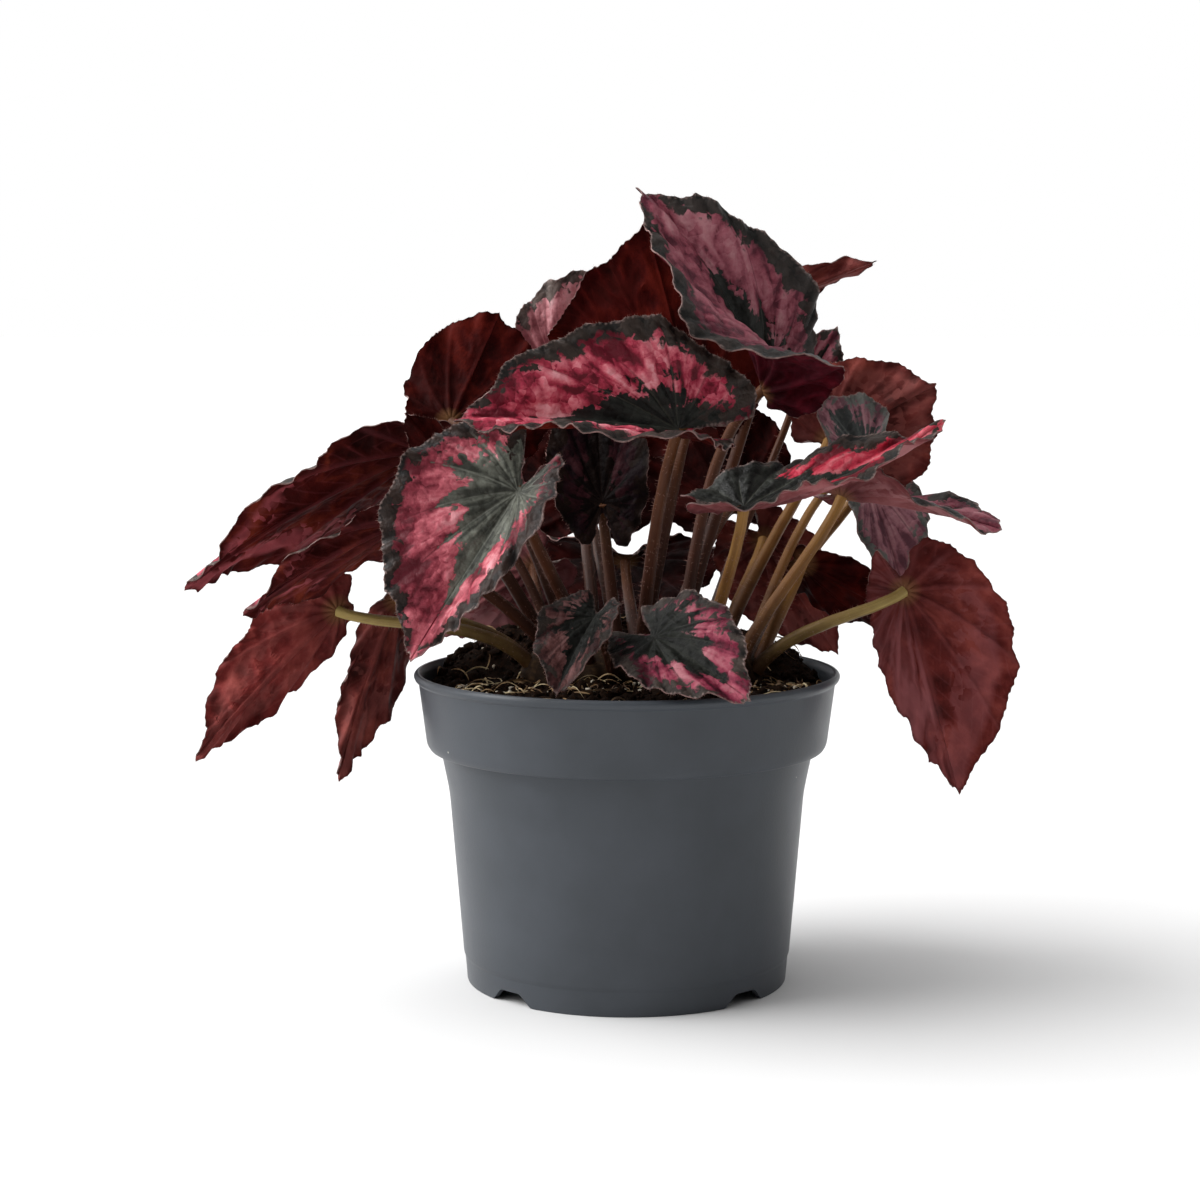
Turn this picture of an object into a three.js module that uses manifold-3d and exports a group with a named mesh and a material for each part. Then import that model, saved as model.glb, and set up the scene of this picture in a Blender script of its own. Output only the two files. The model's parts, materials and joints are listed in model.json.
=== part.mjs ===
// A painted-leaf begonia in a 12 cm nursery pot: the pot, the potting soil, the creeping
// rhizome on the soil, and each leaf as a stalk and a blade. Millimetres, +Z up, +Y away
// from the viewer. The origin is on the ground, on the pot's axis.

import * as THREE from 'three';
import { mergeVertices } from 'three/addons/utils/BufferGeometryUtils.js';
import Module from 'manifold-3d';

const wasm = await Module();
wasm.setup();

// ---- driving dimensions -----------------------------------------------------------

const POT_HEIGHT = 88;
const LIP_RADIUS = 60;
const COLLAR_TOP = 58.6;
const COLLAR_FOOT = 56.4;
const STEP_HEIGHT = 66;
const BODY_TOP = 52.5;
const BODY_FOOT = 46.3;
const FOOT_RADIUS = 45.3;
const POT_WALL = 1.2;
const FLOOR_TOP = 6;
const FLOOR_UNDER = 4.5;
const BOSS_RADIUS = 10;
const NOTCH_FOOT = 14.5;
const NOTCH_TOP = 7;
const NOTCH_HEIGHT = 3.6;
const DRAIN_RADIUS = 4;

const GAP = 0.3;
const SOIL_EDGE = 82;
const SOIL_CROWN = 3;
const SOIL_HEAP = 10;

const BLADE = 0.7;
const MARGIN_POINTS = 28;
const RINGS = [0.42, 0.78, 1];
const NOTCH = 0.07;
const STALK_SIDES = 6;
const STALK_STEPS = 7;

// The rhizome's axis and its half width and half height, from the old end to the young.
const RHIZOME = [
  { at: [-30, 3, 84], wide: 5, high: 4 },
  { at: [-26, 3, 86], wide: 10, high: 7 },
  { at: [-14, 0, 87], wide: 12, high: 8 },
  { at: [-2, 2, 87], wide: 11, high: 7.5 },
  { at: [10, 3, 88], wide: 13, high: 8.5 },
  { at: [22, 1, 87], wide: 12, high: 8 },
  { at: [33, 2, 87], wide: 11, high: 7.5 },
  { at: [38, 2, 85], wide: 5, high: 4 },
];

// One row for each leaf. root is where the stalk leaves the rhizome, knot is where it meets
// the blade, and face is the way the upper side looks. width and lobe give the left and the
// right half, seen from above with the tip ahead, in blade lengths. fold, curl, cup, arch
// and twist are degrees, wave is the height of the margin's waves in millimetres, taper is
// how far the drawn-out tip reaches, and hook how far it bends to the left.
const LEAVES = [
  { name: 'top', root: [13, 0], knot: [38, -5, 167], tip: [2, -22, 221], face: [0.7, -0.6, 0.35],
    width: [0.54, 0.36], lobe: [0.14, 0.2], fold: [12, 42], cup: [85, 0], arch: 35, wave: 2, taper: 1 },
  { name: 'top_back', root: [4, 8], knot: [19, 18, 162], tip: [5, 6, 213], face: [0.1, 0.9, 0.3],
    width: [0.5, 0.78], lobe: [0.25, 0.3], fold: [15, 15], arch: 10, wave: 2 },
  { name: 'back_left', root: [-8, 9], knot: [-21, 50, 172], tip: [0, 52, 202], face: [0, -0.9, 0.3],
    width: [0.5, 0.5], lobe: [0.3, 0.3], fold: [15, 15], arch: 10, wave: 1.5 },
  { name: 'front_centre', root: [3, -7], knot: [13, -40, 157], tip: [-45, -58, 160],
    face: [0, -0.7, 0.7], width: [0.42, 0.47], lobe: [0.25, 0.42], fold: [42, 42], arch: 15, wave: 2 },
  { name: 'front_left', root: [-10, -7], knot: [-29, -45, 141], tip: [-56, -66, 99],
    face: [-0.1, -1, 0.1], width: [0.29, 0.56], lobe: [0.3, 0.38], fold: [50, 8], arch: 15, wave: 1.5 },
  { name: 'left_high', root: [-14, 8], knot: [-50, 12, 157], tip: [-37, 36, 188],
    face: [-0.3, 0.8, -0.5], width: [0.65, 0.4], lobe: [0.3, 0.3], fold: [10, 10], arch: 10, wave: 2,
    taper: 0.5 },
  { name: 'far_left', root: [-20, 4], knot: [-56, -8, 150], tip: [-120, -26, 113],
    face: [-0.2, 0.6, 0.7], width: [0.24, 0.46], lobe: [0.15, 0.15], fold: [10, 12], arch: 20, wave: 2,
    taper: 1.25 },
  { name: 'left_curled', root: [-18, -4], knot: [-62, -20, 131], tip: [-102, -42, 108],
    face: [-0.3, 0.75, 0.6], width: [0.14, 0.4], lobe: [0.25, 0.25], fold: [25, 25], arch: 20, wave: 2 },
  { name: 'low_left', root: [-26, -1], knot: [-81, -4, 105], tip: [-118, -25, 66],
    face: [-0.4, 0.85, 0.2], width: [0.28, 0.22], lobe: [0.2, 0.1], fold: [42, 22], arch: 20,
    wave: 1.5, taper: 1.1 },
  { name: 'low_left_inner', root: [-27, 5], knot: [-65, 8, 107], tip: [-82, 4, 55],
    face: [-0.4, 0.85, 0.2], width: [0.14, 0.33], lobe: [0.12, 0.12], fold: [42, 30], arch: 20,
    wave: 1.5, taper: 1 },
  { name: 'small_left', root: [-4, -8], knot: [-9, -36, 107], tip: [-19, -52, 88],
    face: [-0.3, -0.9, 0.4], width: [0.4, 0.5], lobe: [0.3, 0.3], fold: [35, 20], arch: 20, wave: 1,
    points: 22 },
  { name: 'small_right', root: [10, -9], knot: [7, -40, 102], tip: [31, -67, 89],
    face: [-0.1, -0.8, 0.5], width: [0.45, 0.42], lobe: [0.35, 0.35], fold: [10, 20], arch: 20,
    wave: 1, points: 24 },
  { name: 'low_right', root: [36, -4], knot: [77, -8, 111], tip: [93, -10, 54], face: [0.2, 0.95, 0.2],
    width: [0.24, 0.46], lobe: [0.25, 0.25], fold: [20, 20], arch: 15, wave: 1.5 },
  { name: 'right_curled', root: [21, -8], knot: [31, -30, 136], tip: [86, -22, 159],
    face: [0, -0.3, 0.95], width: [0.3, 0.35], lobe: [0.3, 0.35], fold: [15, 30], arch: -35, wave: 2 },
  { name: 'right_tip', root: [30, -6], knot: [60, -3, 137], tip: [102, -20, 129], face: [0, 0.5, 0.8],
    width: [0.2, 0.3], lobe: [0.25, 0.25], fold: [25, 25], arch: 10, twist: 62, wave: 1.5, taper: 0.35 },
  { name: 'right_high', root: [25, 5], knot: [59, 28, 151], tip: [88, 14, 168], face: [0.4, 0.8, 0.3],
    width: [0.7, 0.55], lobe: [0.3, 0.3], fold: [15, 15], arch: 10, wave: 2 },
  { name: 'back_right', root: [14, 8], knot: [43, 40, 191], tip: [73, 36, 203], face: [0.2, 0.85, 0.5],
    width: [0.36, 0.2], lobe: [0.25, 0.25], fold: [60, 25], arch: 10, wave: 1.5 },
  { name: 'back_right_small', root: [20, 9], knot: [51, 42, 165], tip: [62, 38, 184],
    face: [0.2, -0.9, 0.3], width: [0.45, 0.45], lobe: [0.3, 0.3], fold: [20, 20], arch: 10, wave: 1,
    points: 20, arrive: [0.3, -0.2, 1], stalk: 1.2 },
  { name: 'right_hang', root: [33, 8], knot: [72, 44, 138], tip: [82, 35, 107], face: [0.3, -0.9, 0.2],
    width: [0.42, 0.36], lobe: [0.15, 0.15], fold: [25, 25], arch: 15, wave: 1, points: 24 },
  { name: 'right_under', root: [26, 10], knot: [41, 42, 121], tip: [64, 46, 86], face: [0.1, 0.9, 0.2],
    width: [0.5, 0.32], lobe: [0.3, 0.3], fold: [15, 15], arch: 15, wave: 1.5 },
  { name: 'right_long', root: [37, 3], knot: [50, 9, 117], tip: [84, 9, 98], face: [0.1, 0.9, 0.4],
    width: [0.35, 0.2], lobe: [0.15, 0.15], fold: [20, 20], arch: 15, wave: 1.5 },
  { name: 'inner_dark', root: [-2, 3], knot: [-7, 4, 135], tip: [-10, 22, 174], face: [0, -0.9, 0.4],
    width: [0.36, 0.34], lobe: [0.33, 0.36], fold: [15, 15], arch: 15, wave: 1.5, taper: 0.9,
    points: 24 },
  { name: 'inner_left', root: [-22, 9], knot: [-27, 34, 114], tip: [-56, 42, 92],
    face: [-0.1, 0.9, 0.3], width: [0.5, 0.5], lobe: [0.3, 0.3], fold: [15, 15], arch: 15, wave: 1,
    points: 20, stalk: 1.4 },
  { name: 'centre_back', root: [10, 10], knot: [32, 46, 131], tip: [24, 58, 170],
    face: [0.1, 0.9, -0.2], width: [0.5, 0.62], lobe: [0.2, 0.2], fold: [15, 15], arch: 15, wave: 1.5 },
  { name: 'inner_back', root: [-2, 9], knot: [-12, 58, 131], tip: [-15, 74, 178], face: [0, 0.9, -0.2],
    width: [0.6, 0.52], lobe: [0.28, 0.28], fold: [15, 15], arch: 15, wave: 1.5, points: 24 },
  { name: 'low_back', root: [3, 12], knot: [0, 50, 114], tip: [-1, 78, 88], face: [0, 0.8, 0.4],
    width: [0.82, 0.82], lobe: [0.3, 0.3], fold: [15, 15], arch: 15, wave: 1.5, points: 24 },
  { name: 'young_left', root: [-16, -9], knot: [-50, -24, 149], tip: [-60, -26, 161],
    face: [-0.3, 0.9, 0.3], width: [0.4, 0.4], lobe: [0.3, 0.3], fold: [30, 30], arch: 10, wave: 0.8,
    points: 20, arrive: [-0.6, -0.7, 0.6], stalk: 1.2 },
  { name: 'right_mid', root: [32, -3], knot: [67, 9, 148], tip: [53, -2, 164], face: [0.1, -0.9, 0.4],
    width: [0.55, 0.55], lobe: [0.2, 0.2], fold: [20, 20], arch: 10, wave: 1, points: 20, stalk: 1.3 },
];

// ---- looks ------------------------------------------------------------------------

function material(color, roughness) {
  return new THREE.MeshStandardMaterial({ color, roughness, metalness: 0 });
}

function mesh(name, geometry, look) {
  const piece = new THREE.Mesh(geometry, look);
  piece.name = name;
  return piece;
}

// ---- closed solids ----------------------------------------------------------------

function facesVolume(points, faces) {
  let volume = 0;
  for (const [a, b, c] of faces) {
    volume += points[a].dot(new THREE.Vector3().crossVectors(points[b], points[c])) / 6;
  }
  return volume;
}

// A geometry from shared points and triangles, turned so that its faces look outwards.
function shell(points, faces) {
  const inward = facesVolume(points, faces) < 0;
  const geometry = new THREE.BufferGeometry();
  const flat = points.flatMap((p) => [p.x, p.y, p.z]);
  geometry.setAttribute('position', new THREE.Float32BufferAttribute(flat, 3));
  geometry.setIndex(faces.flatMap(([a, b, c]) => (inward ? [a, c, b] : [a, b, c])));
  return geometry;
}

// A three.js geometry with its shared vertices joined and its empty triangles dropped.
function welded(source) {
  const bare = source.clone();
  bare.deleteAttribute('normal');
  bare.deleteAttribute('uv');
  const merged = mergeVertices(bare, 1e-4);
  const position = merged.getAttribute('position');
  const points = [];
  for (let i = 0; i < position.count; i += 1) {
    points.push(new THREE.Vector3().fromBufferAttribute(position, i));
  }
  const index = merged.getIndex().array;
  const faces = [];
  for (let i = 0; i < index.length; i += 3) {
    const [a, b, c] = [index[i], index[i + 1], index[i + 2]];
    if (a !== b && b !== c && c !== a) {
      faces.push([a, b, c]);
    }
  }
  return shell(points, faces);
}

function toSolid(geometry) {
  return new wasm.Manifold(new wasm.Mesh({
    numProp: 3,
    vertProperties: new Float32Array(geometry.getAttribute('position').array),
    triVerts: new Uint32Array(geometry.getIndex().array),
  }));
}

// The largest piece of a cut solid, as a geometry.
function toGeometry(solid) {
  const pieces = solid.decompose();
  pieces.sort((a, b) => b.volume() - a.volume());
  const cut = pieces[0].getMesh();
  const geometry = new THREE.BufferGeometry();
  geometry.setAttribute('position', new THREE.Float32BufferAttribute(cut.vertProperties, 3));
  geometry.setIndex(Array.from(cut.triVerts));
  return geometry;
}

function without(geometry, ...cutters) {
  let solid = toSolid(geometry);
  for (const cutter of cutters) {
    solid = solid.subtract(toSolid(cutter));
  }
  return toGeometry(solid);
}

function turned(profile, segments) {
  const points = profile.map(([r, z]) => new THREE.Vector2(r, z));
  const lathe = new THREE.LatheGeometry(points, segments);
  lathe.rotateX(Math.PI / 2);
  return welded(lathe);
}

// A closed tube through rings of points, with a flat face at each end.
function tube(rings) {
  const sides = rings[0].length;
  const points = rings.flat();
  const faces = [];
  for (let ring = 0; ring + 1 < rings.length; ring += 1) {
    for (let side = 0; side < sides; side += 1) {
      const a = ring * sides + side;
      const b = ring * sides + ((side + 1) % sides);
      faces.push([a, b, b + sides], [a, b + sides, a + sides]);
    }
  }
  const last = (rings.length - 1) * sides;
  for (let side = 1; side + 1 < sides; side += 1) {
    faces.push([0, side + 1, side], [last, last + side, last + side + 1]);
  }
  return shell(points, faces);
}

// ---- pot --------------------------------------------------------------------------

// The body's outside radius: a plain taper, and a flare just under the collar.
function bodyRadius(z) {
  const taper = BODY_FOOT + (z - 8) * 0.082;
  const flare = THREE.MathUtils.clamp((z - 54) / 12, 0, 1);
  return taper + (BODY_TOP - BODY_FOOT - 58 * 0.082) * flare;
}

// A water notch of the foot ring, with sloping sides, as a block lying along +X.
function notchGeometry() {
  const slope = (NOTCH_FOOT - NOTCH_TOP) / 2 / NOTCH_HEIGHT;
  const outline = new THREE.Shape([
    new THREE.Vector2(NOTCH_FOOT / 2 + slope, -1),
    new THREE.Vector2(NOTCH_TOP / 2, NOTCH_HEIGHT),
    new THREE.Vector2(-NOTCH_TOP / 2, NOTCH_HEIGHT),
    new THREE.Vector2(-NOTCH_FOOT / 2 - slope, -1),
  ]);
  const notch = new THREE.ExtrudeGeometry(outline, { depth: 12, bevelEnabled: false });
  notch.rotateX(Math.PI / 2);
  notch.rotateZ(Math.PI / 2);
  notch.translate(FOOT_RADIUS - 6, 0, 0);
  return notch;
}

function potGeometry() {
  const wall = [8, 54, 60, STEP_HEIGHT].map((z) => [bodyRadius(z), z]);
  const bore = [60, 54, 10].map((z) => [bodyRadius(z) - POT_WALL, z]);
  const profile = [
    [0, 0], [BOSS_RADIUS, 0], [BOSS_RADIUS, FLOOR_UNDER], [FOOT_RADIUS - 1.8, FLOOR_UNDER],
    [FOOT_RADIUS - 1.6, 0], [FOOT_RADIUS, 0], [FOOT_RADIUS + 0.6, 7], ...wall,
    [COLLAR_FOOT - 0.9, STEP_HEIGHT + 0.3], [COLLAR_FOOT, STEP_HEIGHT + 1.8],
    [COLLAR_TOP, POT_HEIGHT - 3], [LIP_RADIUS - 0.4, POT_HEIGHT - 2.3],
    [LIP_RADIUS, POT_HEIGHT - 1.2], [LIP_RADIUS - 0.6, POT_HEIGHT - 0.2],
    [LIP_RADIUS - 1.6, POT_HEIGHT - 0.1],
    [COLLAR_TOP - POT_WALL - 0.1, POT_HEIGHT - 2], [COLLAR_FOOT - POT_WALL, STEP_HEIGHT + 3],
    [BODY_TOP - POT_WALL, STEP_HEIGHT + 1], ...bore,
    [FOOT_RADIUS - 1.2, FLOOR_TOP], [0, FLOOR_TOP],
  ];
  const cutters = [];
  for (const quarter of [1, 3, 5, 7]) {
    const turn = (quarter * Math.PI) / 4;
    const notch = notchGeometry();
    notch.rotateZ(turn);
    const drain = new THREE.CylinderGeometry(DRAIN_RADIUS, DRAIN_RADIUS, 6, 8);
    drain.rotateX(Math.PI / 2);
    drain.translate(FOOT_RADIUS - 10, 0, FLOOR_TOP - 1);
    drain.rotateZ(turn);
    cutters.push(welded(notch), welded(drain));
  }
  return without(turned(profile, 36), ...cutters);
}

// ---- rhizome and soil -------------------------------------------------------------

// Oval rings around the rhizome's axis, grown outwards by extra.
function rhizomeGeometry(extra) {
  const rings = RHIZOME.map(({ at: [x, y, z], wide, high }, k) => {
    const ring = [];
    const shift = (k === 0 ? -extra : 0) + (k === RHIZOME.length - 1 ? extra : 0);
    for (let side = 0; side < 12; side += 1) {
      const turn = (side / 12) * Math.PI * 2;
      const knob = 1 + 0.06 * Math.sin(3 * turn + 2 * k);
      ring.push(new THREE.Vector3(
        x + shift,
        y + (wide * knob + extra) * Math.cos(turn),
        z + (high * knob + extra) * Math.sin(turn),
      ));
    }
    return ring;
  });
  return tube(rings);
}

function soilHeight(x, y) {
  const r = Math.hypot(x, y) / LIP_RADIUS;
  const bumps = 0.7 * Math.sin(x * 0.21 + 1) * Math.cos(y * 0.17 - 0.5);
  const heap = THREE.MathUtils.smoothstep(y, 10, 32) * Math.max(0, 1 - r ** 6);
  return SOIL_EDGE + SOIL_CROWN * (1 - r * r) + SOIL_HEAP * heap + bumps;
}

function soilGeometry() {
  const segments = 28;
  const side = [[FOOT_RADIUS - 3, FLOOR_TOP + GAP]];
  for (const z of [10.5, 54, 60]) {
    side.push([bodyRadius(z) - POT_WALL - GAP - 0.2, z]);
  }
  side.push([BODY_TOP - POT_WALL - GAP - 0.2, STEP_HEIGHT + 1]);
  side.push([COLLAR_FOOT - POT_WALL - GAP - 0.4, STEP_HEIGHT + 3.6]);
  const top = [0.96, 0.8, 0.6, 0.35].map((share) => (COLLAR_TOP - POT_WALL - 0.5) * share);
  const rows = side.length + top.length;
  const points = [];
  for (let row = 0; row < rows; row += 1) {
    for (let k = 0; k < segments; k += 1) {
      const turn = (k / segments) * Math.PI * 2;
      const r = row < side.length ? side[row][0] : top[row - side.length];
      const [x, y] = [r * Math.cos(turn), r * Math.sin(turn)];
      points.push(new THREE.Vector3(x, y, row < side.length ? side[row][1] : soilHeight(x, y)));
    }
  }
  const faces = [];
  for (let row = 0; row + 1 < rows; row += 1) {
    for (let k = 0; k < segments; k += 1) {
      const a = row * segments + k;
      const b = row * segments + ((k + 1) % segments);
      faces.push([a, b, b + segments], [a, b + segments, a + segments]);
    }
  }
  const under = points.push(new THREE.Vector3(0, 0, FLOOR_TOP + GAP)) - 1;
  const crown = points.push(new THREE.Vector3(0, 0, soilHeight(0, 0))) - 1;
  const last = (rows - 1) * segments;
  for (let k = 0; k < segments; k += 1) {
    const next = (k + 1) % segments;
    faces.push([under, next, k], [crown, last + k, last + next]);
  }
  return without(shell(points, faces), rhizomeGeometry(GAP));
}

// ---- leaf blades ------------------------------------------------------------------

const radians = THREE.MathUtils.degToRad;

// The margin at t, from 0 at the tip to 1 at the notch behind the knot: half a heart with a
// drawn-out tip, in blade lengths. A tooth ends every second step of the coarse margin.
function marginPoint(t, leaf, side, count) {
  const [width, lobe] = [leaf.width[side], leaf.lobe[side]];
  const a = Math.PI * t;
  const notch = Math.exp(-(((1 - t) / 0.06) ** 2));
  const along = (1 - lobe) / 2 + ((1 + lobe) / 2) * Math.cos(a) + (lobe - (leaf.notch ?? NOTCH)) * notch;
  const across = width * Math.sin(a) * (1 - 0.93 * Math.exp(-((a / (leaf.taper ?? 0.9)) ** 2)));
  const tooth = 1 + 0.02 * Math.cos((Math.PI * count * t) / 2) * Math.sin(a);
  return [along * tooth, across * tooth];
}

// A point of the flat blade, bent: each half turns up from the midrib by fold, and by cup as
// well near the knot, and rolls on by curl at its edge. Then the midrib arches and twists.
function bent(leaf, t, ring, length) {
  const side = t < 0 ? 1 : 0;
  const count = leaf.points ?? MARGIN_POINTS;
  const [mx, my] = marginPoint(Math.abs(t), leaf, side, count);
  const [x, across] = [mx * ring, my * ring];
  const near = 1 - THREE.MathUtils.smoothstep(x, -0.1, 0.6);
  const fold = leaf.fold[side] + (leaf.cup ?? [0, 0])[side] * near;
  const curl = (leaf.curl ?? [0, 0])[side];
  let [y, z] = [0, 0];
  const steps = 10;
  for (let k = 0; k < steps; k += 1) {
    const q = ((k + 0.5) / steps) * across;
    const turn = radians(fold * (1 - Math.exp(-q / 0.03)) + curl * (q / leaf.width[side]));
    y += (Math.cos(turn) * across) / steps;
    z += (Math.sin(turn) * across) / steps;
  }
  const s = Math.abs(t);
  const edge = Math.sin(Math.PI * Math.min(1, s * 1.02)) ** 0.5;
  z += (leaf.wave / length) * ring ** 2 * edge * Math.sin(s * 22 + (leaf.phase ?? 0) + side * 2);
  if (side === 1) {
    y = -y;
  }
  y += (leaf.hook ?? 0) * Math.max(x, 0) ** 2;
  const twist = radians(leaf.twist ?? 0) * x;
  const [cy, cz] = [y * Math.cos(twist) - z * Math.sin(twist), y * Math.sin(twist) + z * Math.cos(twist)];
  const bend = radians(leaf.arch || 0.1);
  return new THREE.Vector3(
    Math.sin(bend * x) / bend + cz * Math.sin(bend * x),
    cy,
    (Math.cos(bend * x) - 1) / bend + cz * Math.cos(bend * x),
  );
}

// The turn, the scale and the place that put the blade's tip and knot where they belong.
function leafPlace(leaf) {
  const knot = new THREE.Vector3(...leaf.knot);
  const chord = new THREE.Vector3(...leaf.tip).sub(knot);
  const ownTip = bent({ ...leaf, wave: 0 }, 0, 1, 1);
  const ownX = ownTip.clone().normalize();
  const ownZ = new THREE.Vector3(0, 0, 1).addScaledVector(ownX, -ownX.z).normalize();
  const ownY = new THREE.Vector3().crossVectors(ownZ, ownX);
  const toX = chord.clone().normalize();
  const toZ = new THREE.Vector3(...leaf.face);
  toZ.addScaledVector(toX, -toX.dot(toZ)).normalize();
  const toY = new THREE.Vector3().crossVectors(toZ, toX);
  const length = chord.length() / ownTip.length();
  const matrix = new THREE.Matrix4().makeBasis(toX, toY, toZ)
    .multiply(new THREE.Matrix4().makeBasis(ownX, ownY, ownZ).transpose())
    .scale(new THREE.Vector3(length, length, length))
    .premultiply(new THREE.Matrix4().makeTranslation(knot));
  return { matrix, length };
}

// The blade's middle surface as points, its centre first and then ring by ring, and faces.
function bladeSheet(leaf) {
  const { matrix, length } = leafPlace(leaf);
  const count = leaf.points ?? MARGIN_POINTS;
  const points = [bent(leaf, 0, 0, length).applyMatrix4(matrix)];
  for (const ring of RINGS) {
    for (let k = 0; k < count; k += 1) {
      const t = (2 * k) / count;
      points.push(bent(leaf, t > 1 ? t - 2 : t, ring, length).applyMatrix4(matrix));
    }
  }
  const faces = [];
  for (let k = 0; k < count; k += 1) {
    const next = (k + 1) % count;
    faces.push([0, 1 + k, 1 + next]);
    for (let ring = 0; ring + 1 < RINGS.length; ring += 1) {
      const a = 1 + ring * count + k;
      const b = 1 + ring * count + next;
      faces.push([a, a + count, b + count], [a, b + count, b]);
    }
  }
  return { points, faces, count };
}

function sheetNormals(points, faces) {
  const normals = points.map(() => new THREE.Vector3());
  for (const [a, b, c] of faces) {
    const ab = points[b].clone().sub(points[a]);
    const ac = points[c].clone().sub(points[a]);
    const normal = ab.cross(ac).normalize();
    for (const corner of [a, b, c]) {
      normals[corner].add(normal);
    }
  }
  return normals.map((normal) => normal.normalize());
}

// A blade of even thickness: the sheet moved to both sides, and a rim joining them.
function bladeGeometry(leaf, thick) {
  const { points, faces, count } = bladeSheet(leaf);
  const normals = sheetNormals(points, faces);
  const upper = points.map((p, k) => p.clone().addScaledVector(normals[k], thick / 2));
  const under = points.map((p, k) => p.clone().addScaledVector(normals[k], -thick / 2));
  const n = points.length;
  const all = faces.flatMap(([a, b, c]) => [[a, b, c], [a + n, c + n, b + n]]);
  for (let k = 0; k < count; k += 1) {
    const a = n - count + k;
    const b = n - count + ((k + 1) % count);
    all.push([a, a + n, b + n], [a, b + n, b]);
  }
  return shell([...upper, ...under], all);
}

// ---- leaf stalks ------------------------------------------------------------------

// The stalk's middle line, from inside the rhizome to the underside of the blade at the knot.
function stalkCurve(leaf) {
  const { matrix } = leafPlace(leaf);
  const root = new THREE.Vector3(leaf.root[0], leaf.root[1], 88);
  const knot = new THREE.Vector3(...leaf.knot);
  const normal = new THREE.Vector3(0, 0, 1).transformDirection(matrix);
  const reach = knot.clone().sub(root);
  const span = reach.length();
  const leave = new THREE.Vector3(reach.x * 0.4, reach.y * 0.4, span * (leaf.rise ?? 0.5)).normalize();
  const arrive = leaf.arrive
    ? new THREE.Vector3(...leaf.arrive).normalize()
    : normal.clone().add(reach.clone().normalize()).normalize();
  const first = root.clone().addScaledVector(leave, span * 0.36);
  const second = knot.clone().addScaledVector(arrive, -span * 0.3);
  return new THREE.CubicBezierCurve3(root, first, second, knot);
}

function stalkGeometry(leaf) {
  const curve = stalkCurve(leaf);
  const thick = leaf.stalk ?? 1.6;
  const frames = curve.computeFrenetFrames(STALK_STEPS, false);
  const rings = [];
  for (let k = 0; k <= STALK_STEPS; k += 1) {
    const u = k / STALK_STEPS;
    const radius = thick * (1.2 - 0.3 * u);
    const centre = curve.getPointAt(u);
    const ring = [];
    for (let side = 0; side < STALK_SIDES; side += 1) {
      const turn = (side / STALK_SIDES) * Math.PI * 2;
      ring.push(centre.clone()
        .addScaledVector(frames.normals[k], radius * Math.cos(turn))
        .addScaledVector(frames.binormals[k], radius * Math.sin(turn)));
    }
    rings.push(ring);
  }
  const wider = { ...leaf, notch: NOTCH + (2 * GAP) / leafPlace(leaf).length };
  return without(tube(rings), rhizomeGeometry(GAP), bladeGeometry(wider, BLADE + 2 * GAP));
}

// ---- the plant --------------------------------------------------------------------

const plant = new THREE.Group();
plant.add(mesh('pot', potGeometry(), material('#4b5056', 0.5)));
plant.add(mesh('soil', soilGeometry(), material('#1f1712', 0.95)));
plant.add(mesh('rhizome', rhizomeGeometry(0), material('#4a3626', 0.8)));
for (const leaf of LEAVES) {
  const stalk = mesh(`${leaf.name}_stalk`, stalkGeometry(leaf), material('#6b5238', 0.6));
  const blade = mesh(`${leaf.name}_blade`, bladeGeometry(leaf, BLADE), material('#5a1f28', 0.55));
  plant.add(stalk, blade);
}

export default plant;
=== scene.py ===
# %% [markdown]
# # A painted-leaf begonia in a nursery pot
# A creeping rhizome on potting soil, with one stalk and one blade for each leaf. The
# measured model fixes where everything is, and this lesson gives each of its solids the
# finish and the fine form of the real thing. Lengths are in millimetres, and turned to
# Blender's metres where a mesh is made.

# %% Load the measured model
import json
import bpy
import numpy as np
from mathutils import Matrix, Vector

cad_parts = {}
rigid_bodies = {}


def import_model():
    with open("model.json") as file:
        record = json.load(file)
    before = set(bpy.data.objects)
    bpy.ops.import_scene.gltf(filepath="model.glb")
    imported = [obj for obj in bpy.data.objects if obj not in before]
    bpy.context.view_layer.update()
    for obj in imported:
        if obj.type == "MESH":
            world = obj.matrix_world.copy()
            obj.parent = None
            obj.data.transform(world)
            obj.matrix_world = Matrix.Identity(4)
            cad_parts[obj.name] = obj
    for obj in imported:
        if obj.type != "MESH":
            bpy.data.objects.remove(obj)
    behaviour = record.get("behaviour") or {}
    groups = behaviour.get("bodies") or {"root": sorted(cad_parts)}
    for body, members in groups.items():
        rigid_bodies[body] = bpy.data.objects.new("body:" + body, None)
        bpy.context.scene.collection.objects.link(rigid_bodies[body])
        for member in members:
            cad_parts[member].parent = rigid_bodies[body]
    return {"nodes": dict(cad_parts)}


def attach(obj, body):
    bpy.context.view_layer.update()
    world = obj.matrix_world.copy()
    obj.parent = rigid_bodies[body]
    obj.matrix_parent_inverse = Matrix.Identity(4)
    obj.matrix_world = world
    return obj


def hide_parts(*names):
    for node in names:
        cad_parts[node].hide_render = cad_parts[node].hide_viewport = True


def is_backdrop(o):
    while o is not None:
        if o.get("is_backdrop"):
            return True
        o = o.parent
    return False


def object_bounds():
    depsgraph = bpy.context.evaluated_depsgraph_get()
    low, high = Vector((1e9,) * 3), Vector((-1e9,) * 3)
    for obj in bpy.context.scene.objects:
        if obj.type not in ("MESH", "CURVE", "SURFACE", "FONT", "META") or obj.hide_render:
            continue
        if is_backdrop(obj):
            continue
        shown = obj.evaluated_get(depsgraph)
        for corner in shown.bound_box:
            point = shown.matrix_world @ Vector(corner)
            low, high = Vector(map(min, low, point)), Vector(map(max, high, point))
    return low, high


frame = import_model()
model_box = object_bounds()
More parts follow.
